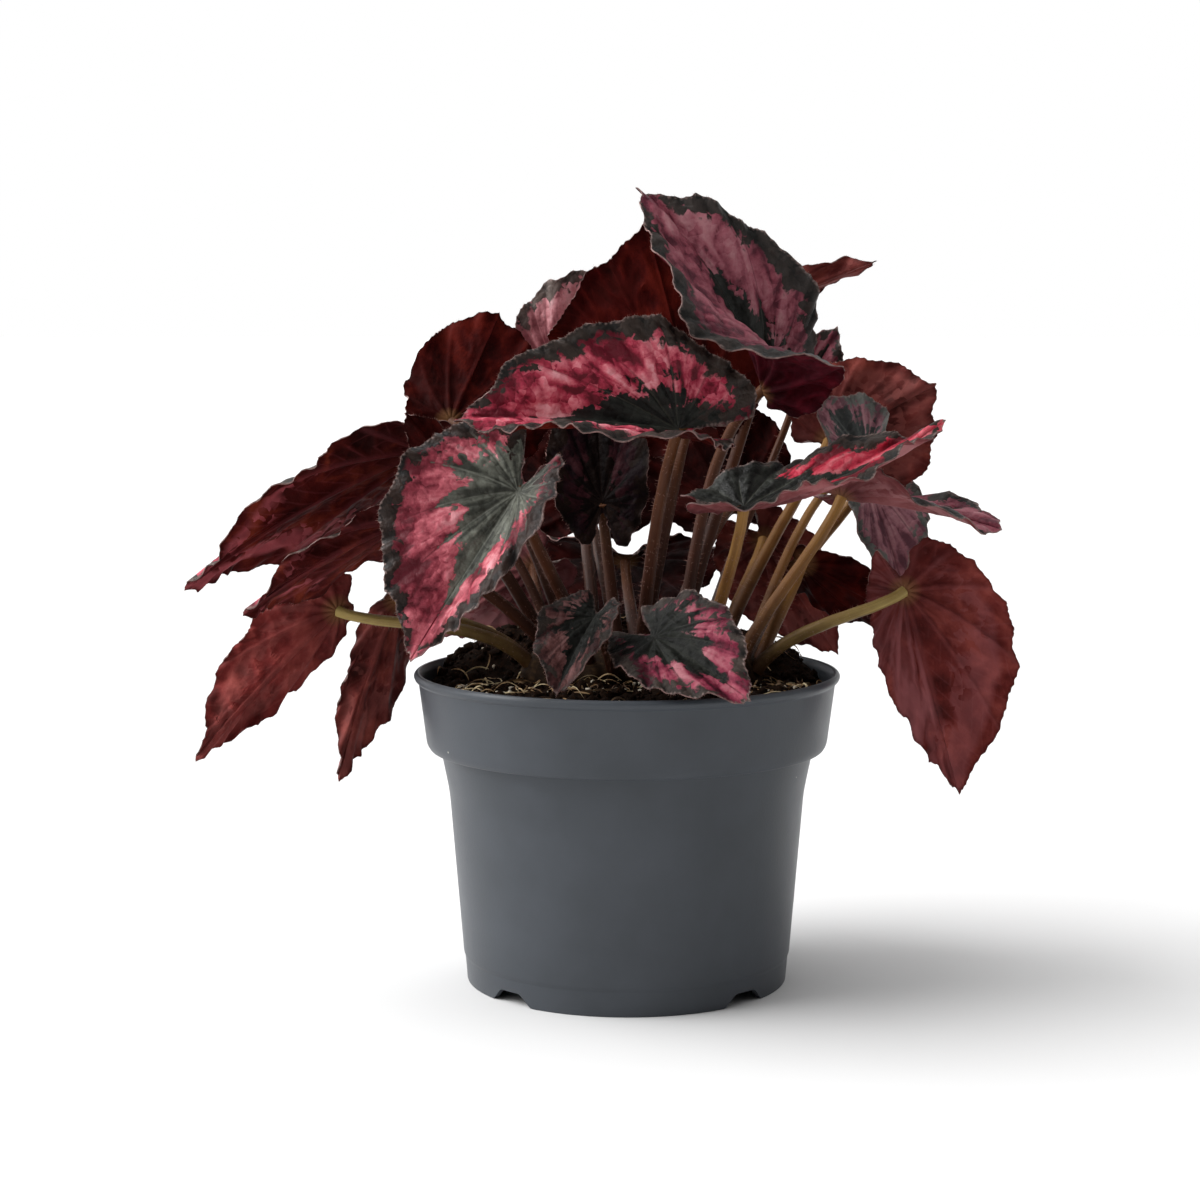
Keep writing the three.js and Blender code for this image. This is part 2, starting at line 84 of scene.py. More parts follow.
scene = bpy.context.scene
print("solids in the measured model:", len(frame["nodes"]))

# %% [markdown]
# ## Tools of the bench
# Colours are sRGB hex codes, but shaders work in linear light, so one function turns them
# over. add makes a node with its settings and links, the ones after it are short ways to
# call it, and piece turns whole arrays of points into a mesh.

# %% Colours, nodes and meshes
MM = 0.001


def linear(code):
    """sRGB hex to linear light: c / 12.92 for dark values, else ((c + 0.055) / 1.055) ** 2.4."""
    c = np.array([int(code[k:k + 2], 16) for k in (1, 3, 5)]) / 255
    c = np.where(c <= 0.04045, c / 12.92, ((c + 0.055) / 1.055) ** 2.4)
    return (*c.tolist(), 1.0)


def plug(tree, node, inputs):
    """Fills a node's inputs: a node or a socket is linked, a hex code or a number is set."""
    for key, value in inputs.items():
        value = value.outputs[0] if isinstance(value, bpy.types.Node) else value
        value = linear(value) if isinstance(value, str) else value
        if isinstance(value, bpy.types.NodeSocket):
            tree.links.new(value, node.inputs[key])
        else:
            node.inputs[key].default_value = value


def add(tree, kind, inputs=None, **settings):
    """Adds one node, its settings and its inputs."""
    node = tree.nodes.new("ShaderNode" + kind)
    for key, value in settings.items():
        setattr(node, key, value)
    plug(tree, node, inputs or {})
    return node


def noise(tree, scale, detail=2, roughness=0.5):
    """Clouds from 0 to 1, about scale of them to the metre, with detail finer layers."""
    place = add(tree, "TexCoord").outputs["Object"]
    return add(tree, "TexNoise", {"Vector": place, "Scale": scale, "Detail": detail,
                                  "Roughness": roughness})


def remap(tree, value, low, high, to_low=0, to_high=1):
    """A value carried from low..high to to_low..to_high, and held at both ends."""
    return add(tree, "MapRange", {"Value": value, "From Min": low, "From Max": high,
                                  "To Min": to_low, "To Max": to_high})


def calc(tree, how, *numbers):
    """One step of arithmetic on numbers or sockets."""
    return add(tree, "Math", dict(enumerate(numbers)), operation=how)


def mix(tree, share, first, second):
    """The first colour where share is 0, the second where it is 1."""
    return add(tree, "MixRGB", {"Fac": share, "Color1": first, "Color2": second})


def ramp(tree, value, places, codes):
    """Colours between stops: the places, and their hex codes in one string."""
    node = add(tree, "ValToRGB", {"Fac": value})
    ends = node.color_ramp.elements
    for k, (place, code) in enumerate(zip(places, codes.split())):
        stop = ends[k] if k < 2 else ends.new(place)
        stop.position, stop.color = place, linear(code)
    return node


def bump(tree, height, strength, distance):
    """A normal bent by a relief too fine for the mesh, distance metres deep."""
    return add(tree, "Bump", {"Height": height, "Strength": strength, "Distance": distance})


def finish(name, rough, shine=0.5, code="#cccccc"):
    """A new material, its node tree and its Principled shader, with its plain values: the
    roughness, the specular level (0.5 is plain plastic, 0.1 damp earth) and the colour."""
    made = bpy.data.materials.new(name)
    made.use_nodes = True
    tree, shader = made.node_tree, made.node_tree.nodes["Principled BSDF"]
    plug(tree, shader, {"Roughness": rough, "Specular IOR Level": shine, "Base Color": code})
    return made, tree, shader


def grainy(name, rough, shine, clouds, places, codes, relief=None):
    """A finish from one noise: its clouds pick the colour on a ramp and raise the relief."""
    made, tree, shader = finish(name, rough, shine)
    grain = noise(tree, *clouds)
    plug(tree, shader, {"Base Color": ramp(tree, grain, places, codes)})
    if relief:
        plug(tree, shader, {"Normal": bump(tree, grain, *relief)})
    return made


def piece(name, points, faces, finishes, which=None, replaces=(), slot=None, sharp=40):
    """A mesh from points in mm and arrays of faces, smooth except where faces meet sharply."""
    mesh = bpy.data.meshes.new(name)
    mesh.vertices.add(len(points))
    mesh.vertices.foreach_set("co", (np.asarray(points) * MM).astype(np.float32).ravel())
    sizes = np.concatenate([np.full(len(f), f.shape[1]) for f in faces])
    mesh.loops.add(int(sizes.sum()))
    mesh.loops.foreach_set("vertex_index", np.concatenate([f.ravel() for f in faces]))
    mesh.polygons.add(len(sizes))
    mesh.polygons.foreach_set("loop_start", np.cumsum(sizes) - sizes)
    for material in finishes:
        mesh.materials.append(material)
    if which is not None:
        mesh.polygons.foreach_set("material_index", which)
    mesh.update(calc_edges=True)
    mesh.validate()
    mesh.polygons.foreach_set("use_smooth", np.ones(len(mesh.polygons), bool))
    mesh.set_sharp_from_angle(angle=np.radians(sharp))
    made = bpy.data.objects.new(name, mesh)
    scene.collection.objects.link(made)
    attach(made, "root")
    if replaces:
        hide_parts(*replaces)
    return made


def mark(made, name, values):
    """Keeps three numbers for each point of a piece, for its materials to read."""
    layer = made.data.attributes.new(name, "FLOAT_VECTOR", "POINT")
    layer.data.foreach_set("vector", np.asarray(values, np.float32).ravel())


# %% [markdown]
# Nothing that grows is quite even, so one function makes soft waves for whole surfaces.
# Nearly every solid here is a tube of rings, so others make rings and their faces.

# %% Unevenness and rings
def unit(v):
    """Vectors of length one."""
    return v / np.linalg.norm(v, axis=-1, keepdims=True)


def uneven(points, size, seed):
    """The mean of six sine waves of about that size in mm, along seeded directions: -1 to 1."""
    dice = np.random.default_rng(seed)
    ways = unit(dice.normal(size=(6, 3))) * 2 * np.pi / (size * dice.uniform(0.7, 1.5, (6, 1)))
    return np.sin(points @ ways.T + dice.uniform(0, 6.3, 6)).mean(-1) * 1.6


def smooth(x, low, high):
    """0 below low, 1 above high, and a smooth step between."""
    u = np.clip((x - low) / (high - low), 0, 1)
    return u * u * (3 - 2 * u)


def turns(count):
    """The angles of so many even steps round a circle."""
    return np.arange(count) * 2 * np.pi / count


def ring_faces(rows, columns):
    """The four-sided faces between rows of a grid that closes round its columns."""
    a = np.arange(rows - 1)[:, None] * columns + np.arange(columns)
    b = np.arange(rows - 1)[:, None] * columns + (np.arange(columns) + 1) % columns
    return np.stack([a, b, b + columns, a + columns], -1).reshape(-1, 4)


def cap_faces(first, columns, middle, flip):
    """The triangles that close a ring of points with a middle point."""
    k = np.arange(columns)
    a, b = first + k, first + (k + 1) % columns
    return np.stack([np.full(columns, middle), b, a] if flip else
                    [np.full(columns, middle), a, b], -1)


def carried(profile, columns):
    """A profile of (radius, height) rows carried round the axis, as a grid of points."""
    turn, r, z = turns(columns), profile[:, :1], profile[:, 1:2]
    return np.stack([r * np.cos(turn), r * np.sin(turn), z + 0 * turn], -1)


def copies(faces, count, step):
    """The same faces for count small shapes, each of which has step points."""
    faces = np.asarray(faces)
    return (faces + step * np.arange(count)[:, None, None]).reshape(-1, faces.shape[1])


def tube_faces(rows, columns):
    """A tube of so many rings, closed at its ends by the two points that follow them."""
    n = rows * columns
    return [ring_faces(rows, columns), cap_faces(0, columns, n, True),
            cap_faces(n - columns, columns, n + 1, False)]


# %% [markdown]
# ## The camera
# The ovals of the pot's lip and foot give the eye's place: 70 cm away, looking down by 6.3
# degrees through a 75 mm lens.

# %% Set up the camera
lens = bpy.data.cameras.new("studio_camera")
lens.lens, lens.sensor_width = 75, 36
camera = bpy.data.objects.new("studio_camera", lens)
camera.location = (-0.00755, -0.6987, 0.1851)
camera.rotation_euler = (np.radians(83.67), 0, 0)
scene.collection.objects.link(camera)
scene.camera = camera
print("lens:", lens.lens, "mm")

# %% [markdown]
# ## The pot
# A thin pot injection moulded in slate-grey polypropylene: a tapered body, a step, a wide
# collar with a small bead at its lip, and a foot ring with four notches. Its profile is
# carried round the axis, each corner rounded, because a moulded edge is never sharp and its
# highlight shows it. The finish is satin, with the fine grain of the mould, soft scuffs,
# and pale specks of lime: a Voronoi pattern has cells 7 mm wide, and one in three shows a
# dot in its middle.

# %% Finish of the pot
plastic, tree, shader = finish("moulded_polypropylene_slate", 0.4, 0.3)
place = add(tree, "TexCoord").outputs["Object"]
tone = ramp(tree, noise(tree, 35, 4, 0.6), (0.3, 0.7), "#3b3f44 #44484e")
dots = add(tree, "TexVoronoi", {"Vector": place, "Scale": 140}, feature="F1")
dot = remap(tree, dots.outputs["Distance"], 0.05, 0.03)
few = remap(tree, dots.outputs["Color"], 0.62, 0.7)
coat = mix(tree, calc(tree, "MULTIPLY", dot, few), tone, "#b9b6ad")
satin = remap(tree, noise(tree, 140, 3, 0.7), 0, 1, 0.34, 0.48)
relief = bump(tree, noise(tree, 1400), 0.12, 0.0002)
plug(tree, shader, {"Base Color": coat, "Roughness": satin, "Normal": relief, "IOR": 1.49})
print("finish:", plastic.name)

# %% Turn the profile of the pot
LIP, COLLAR_TOP, COLLAR_FOOT, FOOT = 60.0, 58.6, 56.4, 45.3
TALL, STEP, WALL = 88.0, 66.0, 1.2


def body_radius(z):
    """The body's outside radius: 46.3 at a height of 8, a plain taper of 0.082, then a flare."""
    return 46.3 + (z - 8) * 0.082 + (6.2 - 58 * 0.082) * np.clip((z - 54) / 12, 0, 1)


def rounded(profile, sizes, steps=6):
    """Each corner of a profile becomes a short curve, a parabola that starts and ends size away."""
    p = np.asarray(profile, float)
    before, after = np.roll(p, 1, axis=0) - p, np.roll(p, -1, axis=0) - p
    reach = [np.minimum(sizes, 0.45 * np.linalg.norm(way, axis=1))[:, None] * unit(way)
             for way in (before, after)]
    u = np.linspace(0, 1, steps)[None, :, None]
    curve = p[:, None] + reach[0][:, None] * (1 - u) ** 2 + reach[1][:, None] * u ** 2
    return curve.reshape(-1, 2)


outside = [(10, 0, .3), (10, 4.5, .3), (FOOT - 1.8, 4.5, .3), (FOOT - 1.6, 0, .3), (FOOT, 0, .3),
           (FOOT + .6, 7, .4), (body_radius(8), 8, .6),
           (body_radius(54), 54, 3), (body_radius(60), 60, 3), (body_radius(STEP), STEP, .5),
           (COLLAR_FOOT - .9, STEP + .3, .4), (COLLAR_FOOT, STEP + 1.8, 1.2),
           (COLLAR_TOP, TALL - 3, .4), (LIP - .4, TALL - 2.3, .6), (LIP, TALL - 1.2, .8),
           (LIP - .6, TALL - .2, .6), (LIP - 1.6, TALL - .1, .5)]
inside = [(COLLAR_TOP - WALL - .1, TALL - 2, .6), (COLLAR_FOOT - WALL, STEP + 3, .6),
          (51.3, STEP + 1, .6), (body_radius(60) - WALL, 60, 3), (body_radius(54) - WALL, 54, 3),
          (body_radius(10) - WALL, 10, 1), (FOOT - 1.2, 6, .6)]
corners = np.array([(0, 0, 0)] + outside + inside + [(0, 6, 0)])
profile = rounded(corners[:, :2], corners[:, 2])[5:-5]

ends = [[0, 0, profile[0, 1]], [0, 0, profile[-1, 1]]]
pot_points = np.vstack([carried(profile[1:-1], 240).reshape(-1, 3), ends])
pot = piece("pot_shell", pot_points, tube_faces(len(profile) - 2, 240), [plastic])
print("pot: profile points", len(profile))

# %% [markdown]
# A Boolean modifier cuts the notches in the foot ring and the drain holes in the floor, and
# the result is kept as the mesh.

# %% Cut the notches and the drain holes
def prism(outline, low, high, quarter, lying=False):
    """A prism over a flat outline, from low to high: upright, or lying with its length away
    from the pot's axis. Then it is turned about the axis."""
    n = len(outline)
    points = np.vstack([np.column_stack([outline, np.full(n, z)]) for z in (low, high)])
    points = np.vstack([points, points[:n].mean(0), points[n:].mean(0)])
    points = points[:, [2, 0, 1]] if lying else points
    c, s = np.cos(quarter), np.sin(quarter)
    points = points @ np.array([[c, s, 0], [-s, c, 0], [0, 0, 1]])
    return points, tube_faces(2, n)


NOTCH = 8.2  # half the width of a notch at the ground
across = np.linspace(NOTCH, -NOTCH, 40)
arch = np.column_stack([across, 3.6 * smooth(-np.abs(across), -NOTCH, -3) - 0.01])
arch = np.vstack([[(-NOTCH, -1), (NOTCH, -1)], arch])
drain = np.column_stack([FOOT - 10 + 4 * np.cos(turns(24)), 4 * np.sin(turns(24))])
tools = []
for quarter in np.arange(1, 8, 2) * np.pi / 4:
    tools += [prism(arch, FOOT - 6, FOOT + 6, quarter, lying=True), prism(drain, 2, 8, quarter)]
for k, (points, faces) in enumerate(tools):
    tool = piece(f"tool_{k}", points, faces, [plastic])
    cut = pot.modifiers.new("cut", "BOOLEAN")
    cut.operation, cut.object, cut.solver = "DIFFERENCE", tool, "EXACT"
    kept = bpy.data.meshes.new_from_object(pot.evaluated_get(bpy.context.evaluated_depsgraph_get()))
    pot.modifiers.clear()
    pot.data = kept
    bpy.data.objects.remove(tool)
pot.data.set_sharp_from_angle(angle=np.radians(35))
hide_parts("pot")
print("pot:", len(pot.data.polygons), "faces")

# %% [markdown]
# ## The potting soil
# Dark peat, heaped up behind the rhizome. Its top is a height over the round bed: a low
# crown, the heap, slow waves and lumps. Crumbs of peat, straw-coloured root fibres and a
# few white grains of lime lie on it, most of them where the front shows them. A seeded dice
# scatters them, and each has only a few faces, because none is seen alone.

# %% Shape the bed of peat
def soil_height(x, y):
    """82 mm at the wall, 3 mm more in the middle, a heap 14 mm high behind the rhizome, and
    waves 0.7 mm high across it."""
    share = (x ** 2 + y ** 2) / 60 ** 2
    heap = smooth(y, 4, 27) * np.maximum(0, 1 - share ** 3)
    return 82 + 3 * (1 - share) + 14 * heap + 0.7 * np.sin(x * 0.21 + 1) * np.cos(y * 0.17 - 0.5)


ring = 56.6 * np.linspace(1, 0.02, 60)
flat = carried(np.column_stack([ring, 0 * ring]), 220)
x, y = flat[..., 0], flat[..., 1]
lumps = 0.7 * uneven(flat, 7, 3) + 0.5 * np.abs(uneven(flat, 3.5, 4)) + 0.3 * uneven(flat, 1.8, 5)
top = flat.copy()
top[..., 2] = soil_height(x, y) + lumps * np.minimum(1, (57.4 - ring) / 3)[:, None]
side = np.array([(41.8, 6.3), (45, 10.5), (48.3, 54), (50.1, 60), (50.7, 67), (54.5, 69.6)])
bed = np.concatenate([carried(side, 220), top]).reshape(-1, 3)
bed = np.vstack([bed, [[0, 0, 6.3], [0, 0, soil_height(0, 0)]]])

peat = grainy("potting_peat_damp", 0.92, 0.08, (900, 5, 0.7), (0.35, 0.6, 0.72),
              "#0a0502 #221309 #3f2815", (0.9, 0.0008))
piece("peat_bed", bed, tube_faces(66, 220), [peat], replaces=["soil"], slot="soil")
print("peat bed:", len(bed), "points")

# %% Scatter crumbs, fibres and grains of lime
dice = np.random.default_rng(11)
GOLD = (1 + 5 ** 0.5) / 2
corners = np.array([(0, s, t * GOLD) for s in (-1, 1) for t in (-1, 1)])
NUT = unit(np.vstack([np.roll(corners, -k, axis=1) for k in range(3)]))
near = np.linalg.norm(NUT[:, None] - NUT[None], axis=-1) < 1.2
NUT_FACES = np.array([(a, b, c) if np.linalg.det(NUT[[a, b, c]]) > 0 else (a, c, b)
                      for a in range(12) for b in range(a) for c in range(b)
                      if near[a, b] and near[b, c] and near[a, c]])


def lumps_at(centres, sizes):
    """Twenty-sided nuts, each corner moved in or out, and each stretched its own way."""
    count = len(centres)
    shape = NUT * dice.uniform(0.65, 1.2, (count, 12, 1)) * dice.uniform(0.6, 1.2, (count, 1, 3))
    points = centres[:, None] + shape * sizes[:, None, None]
    return points.reshape(-1, 3), [copies(NUT_FACES, count, 12)]


def on_soil(x, y, lift):
    """Points on the bed's top at x and y, lifted."""
    return np.column_stack([x, y, soil_height(x, y) + lift])


def spread(count):
    """Even random places over the round bed: the radius goes by a random number's root."""
    r, turn = 55.4 * np.sqrt(dice.uniform(0, 1, count)), dice.uniform(0, 6.3, count)
    return r * np.cos(turn), r * np.sin(turn)


CRUMBS, GRAINS, FIBRES = 2400, 110, 190
sizes = dice.gamma(2.2, 0.42, CRUMBS).clip(0.35, 2.4)
crumbs = lumps_at(on_soil(*spread(CRUMBS), 0.35), sizes)
piece("peat_crumbs", *crumbs, [peat], slot="soil", sharp=70)

chalk = finish("lime_grain", 0.8, code="#b8ae9c")[0]
x, y = spread(GRAINS)
x[:70], y[:70] = dice.uniform(-48, 50, 70), dice.uniform(-26, -6, 70)
grains = lumps_at(on_soil(x, y, 0.9), dice.uniform(0.25, 1.0, GRAINS))
piece("lime_grains", *grains, [chalk], slot="soil", sharp=70)


def fibres(starts, headings, lengths, curls, thick, lift):
    """Thin three-sided tubes: each runs from its start, turning steadily by its curl, in a
    low arch over the bed, and tapers to both ends."""
    u = np.linspace(0, 1, 10)
    way = headings[:, None] + curls[:, None] * (u - 0.5)
    step = lengths[:, None] / 9
    x = starts[0][:, None] + np.cumsum(np.cos(way) * step, axis=1)
    y = starts[1][:, None] + np.cumsum(np.sin(way) * step, axis=1)
    inside = np.minimum(1, 55.5 / np.hypot(x, y))
    x, y = x * inside, y * inside
    z = soil_height(x, y) + 0.9 + lift[:, None] * np.sin(np.pi * u)
    radius = (thick[:, None] * (0.35 + 0.65 * np.sin(np.pi * u) ** 0.5))[..., None]
    across = np.stack([-np.sin(way), np.cos(way), 0 * way], -1)
    up = np.array([0, 0, 1.0])
    points = np.stack([np.stack([x, y, z], -1) + radius * (np.cos(a) * across + np.sin(a) * up)
                       for a in turns(3)], axis=2)
    faces = [ring_faces(10, 3), [(0, 2, 1), (27, 28, 29)]]
    return points.reshape(-1, 3), [copies(part, len(lengths), 30) for part in faces]


x, y = spread(FIBRES)
left, right = np.arange(FIBRES) < 65, np.arange(FIBRES) >= 155
x[left], y[left] = dice.uniform(-52, 4, 65), dice.uniform(-28, -4, 65)
x[right], y[right] = dice.uniform(34, 54, 35), dice.uniform(-26, 6, 35)
strands = fibres((x, y), dice.uniform(0, 6.3, FIBRES), dice.gamma(3, 2.6, FIBRES).clip(3, 20),
                 dice.normal(0, 1.4, FIBRES), dice.uniform(0.1, 0.34, FIBRES),
                 dice.gamma(1, 0.9, FIBRES).clip(0, 4))
straw = grainy("dry_root_fibre", 0.7, 0.5, (120, 3), (0.38, 0.52, 0.64),
               "#4f3822 #9c7b52 #e6d3a8")
piece("root_fibres", *strands, [straw], slot="soil", sharp=80)
print("on the soil:", CRUMBS, "crumbs,", GRAINS, "grains,", FIBRES, "fibres")

# %% [markdown]
# ## The rhizome
# The plant creeps: its thick stem lies half sunk in the peat, and every stalk rises from
# it. It is an oval tube along a short axis, with a ring at each old leaf scar. Each row of
# the axis is a place, and half the width and half the height there.

# %% Shape the rhizome
AXIS = np.array([(-30, 3, 84, 5, 4), (-26, 3, 86, 10, 7), (-14, 0, 87, 12, 8),
                 (-2, 2, 87, 11, 7.5), (10, 3, 88, 13, 8.5), (22, 1, 87, 12, 8),
                 (33, 2, 87, 11, 7.5), (38, 2, 85, 5, 4)], float)
row = np.linspace(0, 7, 90)
x, y, z, wide, high = [np.interp(row, np.arange(8), AXIS[:, k])[:, None] for k in range(5)]
turn = turns(64)
knob = 1 + 0.06 * np.sin(3 * turn + 2 * row[:, None]) + 0.035 * np.abs(np.sin(row[:, None] * 6))
stem = np.stack([x + 0 * knob, y + wide * knob * np.cos(turn),
                 z + high * knob * np.sin(turn)], -1)
stem = stem + 0.35 * uneven(stem, 4, 8)[..., None] * unit(stem - np.stack([x, y, z], -1))
stem = np.vstack([stem.reshape(-1, 3), AXIS[0, :3], AXIS[-1, :3]])
bark = grainy("rhizome_skin", 0.75, 0.1, (260, 5, 0.65), (0.3, 0.5, 0.7),
              "#140c07 #2c1e13 #4c3824", (0.7, 0.0006))
piece("rhizome_stem", stem, tube_faces(90, 64), [bark], replaces=["rhizome"], slot="rhizome")
print("rhizome:", len(stem), "points")

# %% [markdown]
# ## The leaves
# A leaf of this begonia is a lopsided heart with a drawn-out tip. The stalk joins it at
# the knot, beside the notch, and the main veins fan out from there. One row sets each
# leaf: where its stalk leaves the rhizome (root), the knot, the tip, the way its upper side
# looks (face), and the width and lobe of its left and right half in blade lengths. fold,
# arch, cup and twist are degrees, and wave is mm. Its last item is what only some have.

# %% The leaves, one row each
COLUMNS = "name root knot tip face width lobe fold arch wave".split()
LEAVES = [dict(zip(COLUMNS, row), **more) for *row, more in [
    ("top", (13, 0), (38, -5, 167), (2, -22, 221), (.7, -.6, .35), (.54, .36), (.14, .2),
     (12, 42), 35, 2, dict(cup=(85, 0), taper=1)),
    ("top_back", (4, 8), (19, 18, 162), (5, 6, 213), (.1, .9, .3), (.5, .78), (.25, .3), 15, 10,
     2, {}),
    ("back_left", (-8, 9), (-21, 50, 172), (0, 52, 202), (0, -.9, .3), .5, .3, 15, 10, 1.5,
     dict(heart=.05)),
    ("front_centre", (3, -7), (13, -40, 157), (-45, -58, 160), (0, -.7, .7), (.42, .47),
     (.25, .42), 42, 15, 2, {}),
    ("front_left", (-10, -7), (-29, -45, 141), (-56, -66, 99), (-.1, -1, .1), (.29, .56),
     (.3, .38), (50, 8), 15, 1.5, dict(heart=.4, rear=.15)),
    ("left_high", (-14, 8), (-50, 12, 157), (-37, 36, 188), (-.3, .8, -.5), (.65, .4), .3, 10,
     10, 2, dict(taper=.5)),
    ("far_left", (-20, 4), (-56, -8, 150), (-120, -26, 113), (-.2, .6, .7), (.24, .46), .15,
     (10, 12), 20, 2, dict(taper=1.25)),
    ("left_curled", (-18, -4), (-62, -20, 131), (-102, -42, 108), (-.3, .75, .6), (.14, .4), .25,
     25, 20, 2, {}),
    ("low_left", (-26, -1), (-81, -4, 105), (-118, -25, 66), (-.4, .85, .2), (.28, .22),
     (.2, .1), (42, 22), 20, 1.5, dict(taper=1.1)),
    ("low_left_inner", (-27, 5), (-65, 8, 107), (-82, 4, 55), (-.4, .85, .2), (.14, .33), .12,
     (42, 30), 20, 1.5, dict(taper=1)),
    ("small_left", (-4, -8), (-9, -36, 107), (-19, -52, 88), (-.3, -.9, .4), (.4, .5), .3,
     (35, 20), 20, 1, dict(points=22, heart=.5)),
    ("small_right", (10, -9), (7, -40, 102), (31, -67, 89), (-.1, -.8, .5), (.45, .42), .35,
     (10, 20), 20, 1, dict(points=24, heart=.48, rear=.2)),
    ("low_right", (36, -4), (77, -8, 111), (93, -10, 54), (.2, .95, .2), (.24, .46), .25, 20, 15,
     1.5, {}),
    ("right_curled", (21, -8), (31, -30, 136), (86, -22, 159), (0, -.3, .95), (.3, .35),
     (.3, .35), (15, 30), -35, 2, dict(heart=.45, rear=.6)),
    ("right_tip", (30, -6), (60, -3, 137), (102, -20, 129), (0, .5, .8), (.2, .3), .25, 25, 10,
     1.5, dict(twist=62, taper=.35)),
    ("right_high", (25, 5), (59, 28, 151), (88, 14, 168), (.4, .8, .3), (.7, .55), .3, 15, 10, 2,
     {}),
    ("back_right", (14, 8), (43, 40, 191), (73, 36, 203), (.2, .85, .5), (.36, .2), .25,
     (60, 25), 10, 1.5, {}),
    ("back_right_small", (20, 9), (51, 42, 165), (62, 38, 184), (.2, -.9, .3), .45, .3, 20, 10,
     1, dict(points=20, arrive=(.3, -.2, 1), stalk=1.2)),
    ("right_hang", (33, 8), (72, 44, 138), (82, 35, 107), (.3, -.9, .2), (.42, .36), .15, 25, 15,
     1, dict(points=24, heart=-.3)),
    ("right_under", (26, 10), (41, 42, 121), (64, 46, 86), (.1, .9, .2), (.5, .32), .3, 15, 15,
     1.5, {}),
    ("right_long", (37, 3), (50, 9, 117), (84, 9, 98), (.1, .9, .4), (.35, .2), .15, 20, 15, 1.5,
     {}),
    ("inner_dark", (-2, 3), (-7, 4, 135), (-10, 22, 174), (0, -.9, .4), (.36, .34), (.33, .36),
     15, 15, 1.5, dict(points=24)),
    ("inner_left", (-22, 9), (-27, 34, 114), (-56, 42, 92), (-.1, .9, .3), .5, .3, 15, 15, 1,
     dict(points=20, stalk=1.4)),
    ("centre_back", (10, 10), (32, 46, 131), (24, 58, 170), (.1, .9, -.2), (.5, .62), .2, 15, 15,
     1.5, {}),
    ("inner_back", (-2, 9), (-12, 58, 131), (-15, 74, 178), (0, .9, -.2), (.6, .52), .28, 15, 15,
     1.5, dict(points=24)),
    ("low_back", (3, 12), (0, 50, 114), (-1, 78, 88), (0, .8, .4), .82, .3, 15, 15, 1.5,
     dict(points=24)),
    ("young_left", (-16, -9), (-50, -24, 149), (-60, -26, 161), (-.3, .9, .3), .4, .3, 30, 10,
     .8, dict(points=20, arrive=(-.6, -.7, .6), stalk=1.2)),
    ("right_mid", (32, -3), (67, 9, 148), (53, -2, 164), (.1, -.9, .4), .55, .2, 20, 10, 1,
     dict(points=20, stalk=1.3, heart=.5)),
]]
print("leaves:", len(LEAVES))

# %% [markdown]
# The flat outline comes first. Its points are spread evenly along the margin, so that the
# fine teeth are alike in size, and each ray from the knot to the margin has the same number
# of steps: a blade is a function of the way round the margin and the share of the way out.

# %% Outline of a blade
def halves(value):
    """The left and the right half's value: one number stands for both."""
    return np.broadcast_to(value, 2)


def heart(leaf, t, side):
    """Half a heart, t from 0 at the tip to 1 at the notch. Along the midrib: a cosine with a
    dent at the notch. Across it: a sine, drawn in near the tip by a bell curve."""
    width, lobe = halves(leaf["width"])[side], halves(leaf["lobe"])[side]
    a = np.pi * t
    dent = np.exp(-(((1 - t) / 0.06) ** 2))
    along = (1 - lobe) / 2 + (1 + lobe) / 2 * np.cos(a) + (lobe - 0.07) * dent
    across = width * np.sin(a) * (1 - 0.93 * np.exp(-((a / leaf.get("taper", 0.9)) ** 2)))
    return along, across


def even_columns(leaf, length, step):
    """Places t and sides round the whole margin, about step mm apart, and the distance in mm."""
    s = np.linspace(0, 1, 1500)
    t, sides, way, gone = [], [], [], 0.0
    for side in (0, 1):
        x, y = heart(leaf, s, side)
        run = np.concatenate([[0], np.cumsum(np.hypot(np.diff(x), np.diff(y)))]) * length
        goal = np.linspace(0, run[-1], max(12, int(run[-1] / step)) + 1)
        part = np.interp(goal, run, s)
        t.append(part if side == 0 else part[::-1][1:-1])
        way.append(goal + gone if side == 0 else goal[1:-1] + gone)
        sides.append(np.full(len(t[-1]), side))
        gone += run[-1]
    return np.concatenate(t), np.concatenate(sides), np.concatenate(way)


def teeth(way, seed):
    """Height of the margin in mm: fine points some 2.6 mm apart on wider points of 9.5 mm."""
    pace = way / 2.6 + 0.7 * np.sin(way / 7.3 + seed) + 0.4 * np.sin(way / 4.1 + 2 * seed)
    point = np.abs(1 - 2 * (pace % 1)) ** 1.3
    wide = way / 9.5 + 0.5 * np.sin(way / 15 + 3 * seed)
    lobe = np.abs(1 - 2 * (wide % 1)) ** 1.6
    return 0.45 * (point - 0.4) + 0.8 * (lobe - 0.4)


# %% [markdown]
# The flat blade is then bent: each half folds up from the midrib, the margin waves, the
# midrib arches and twists. The same steps made the measured solid, so both lie alike.

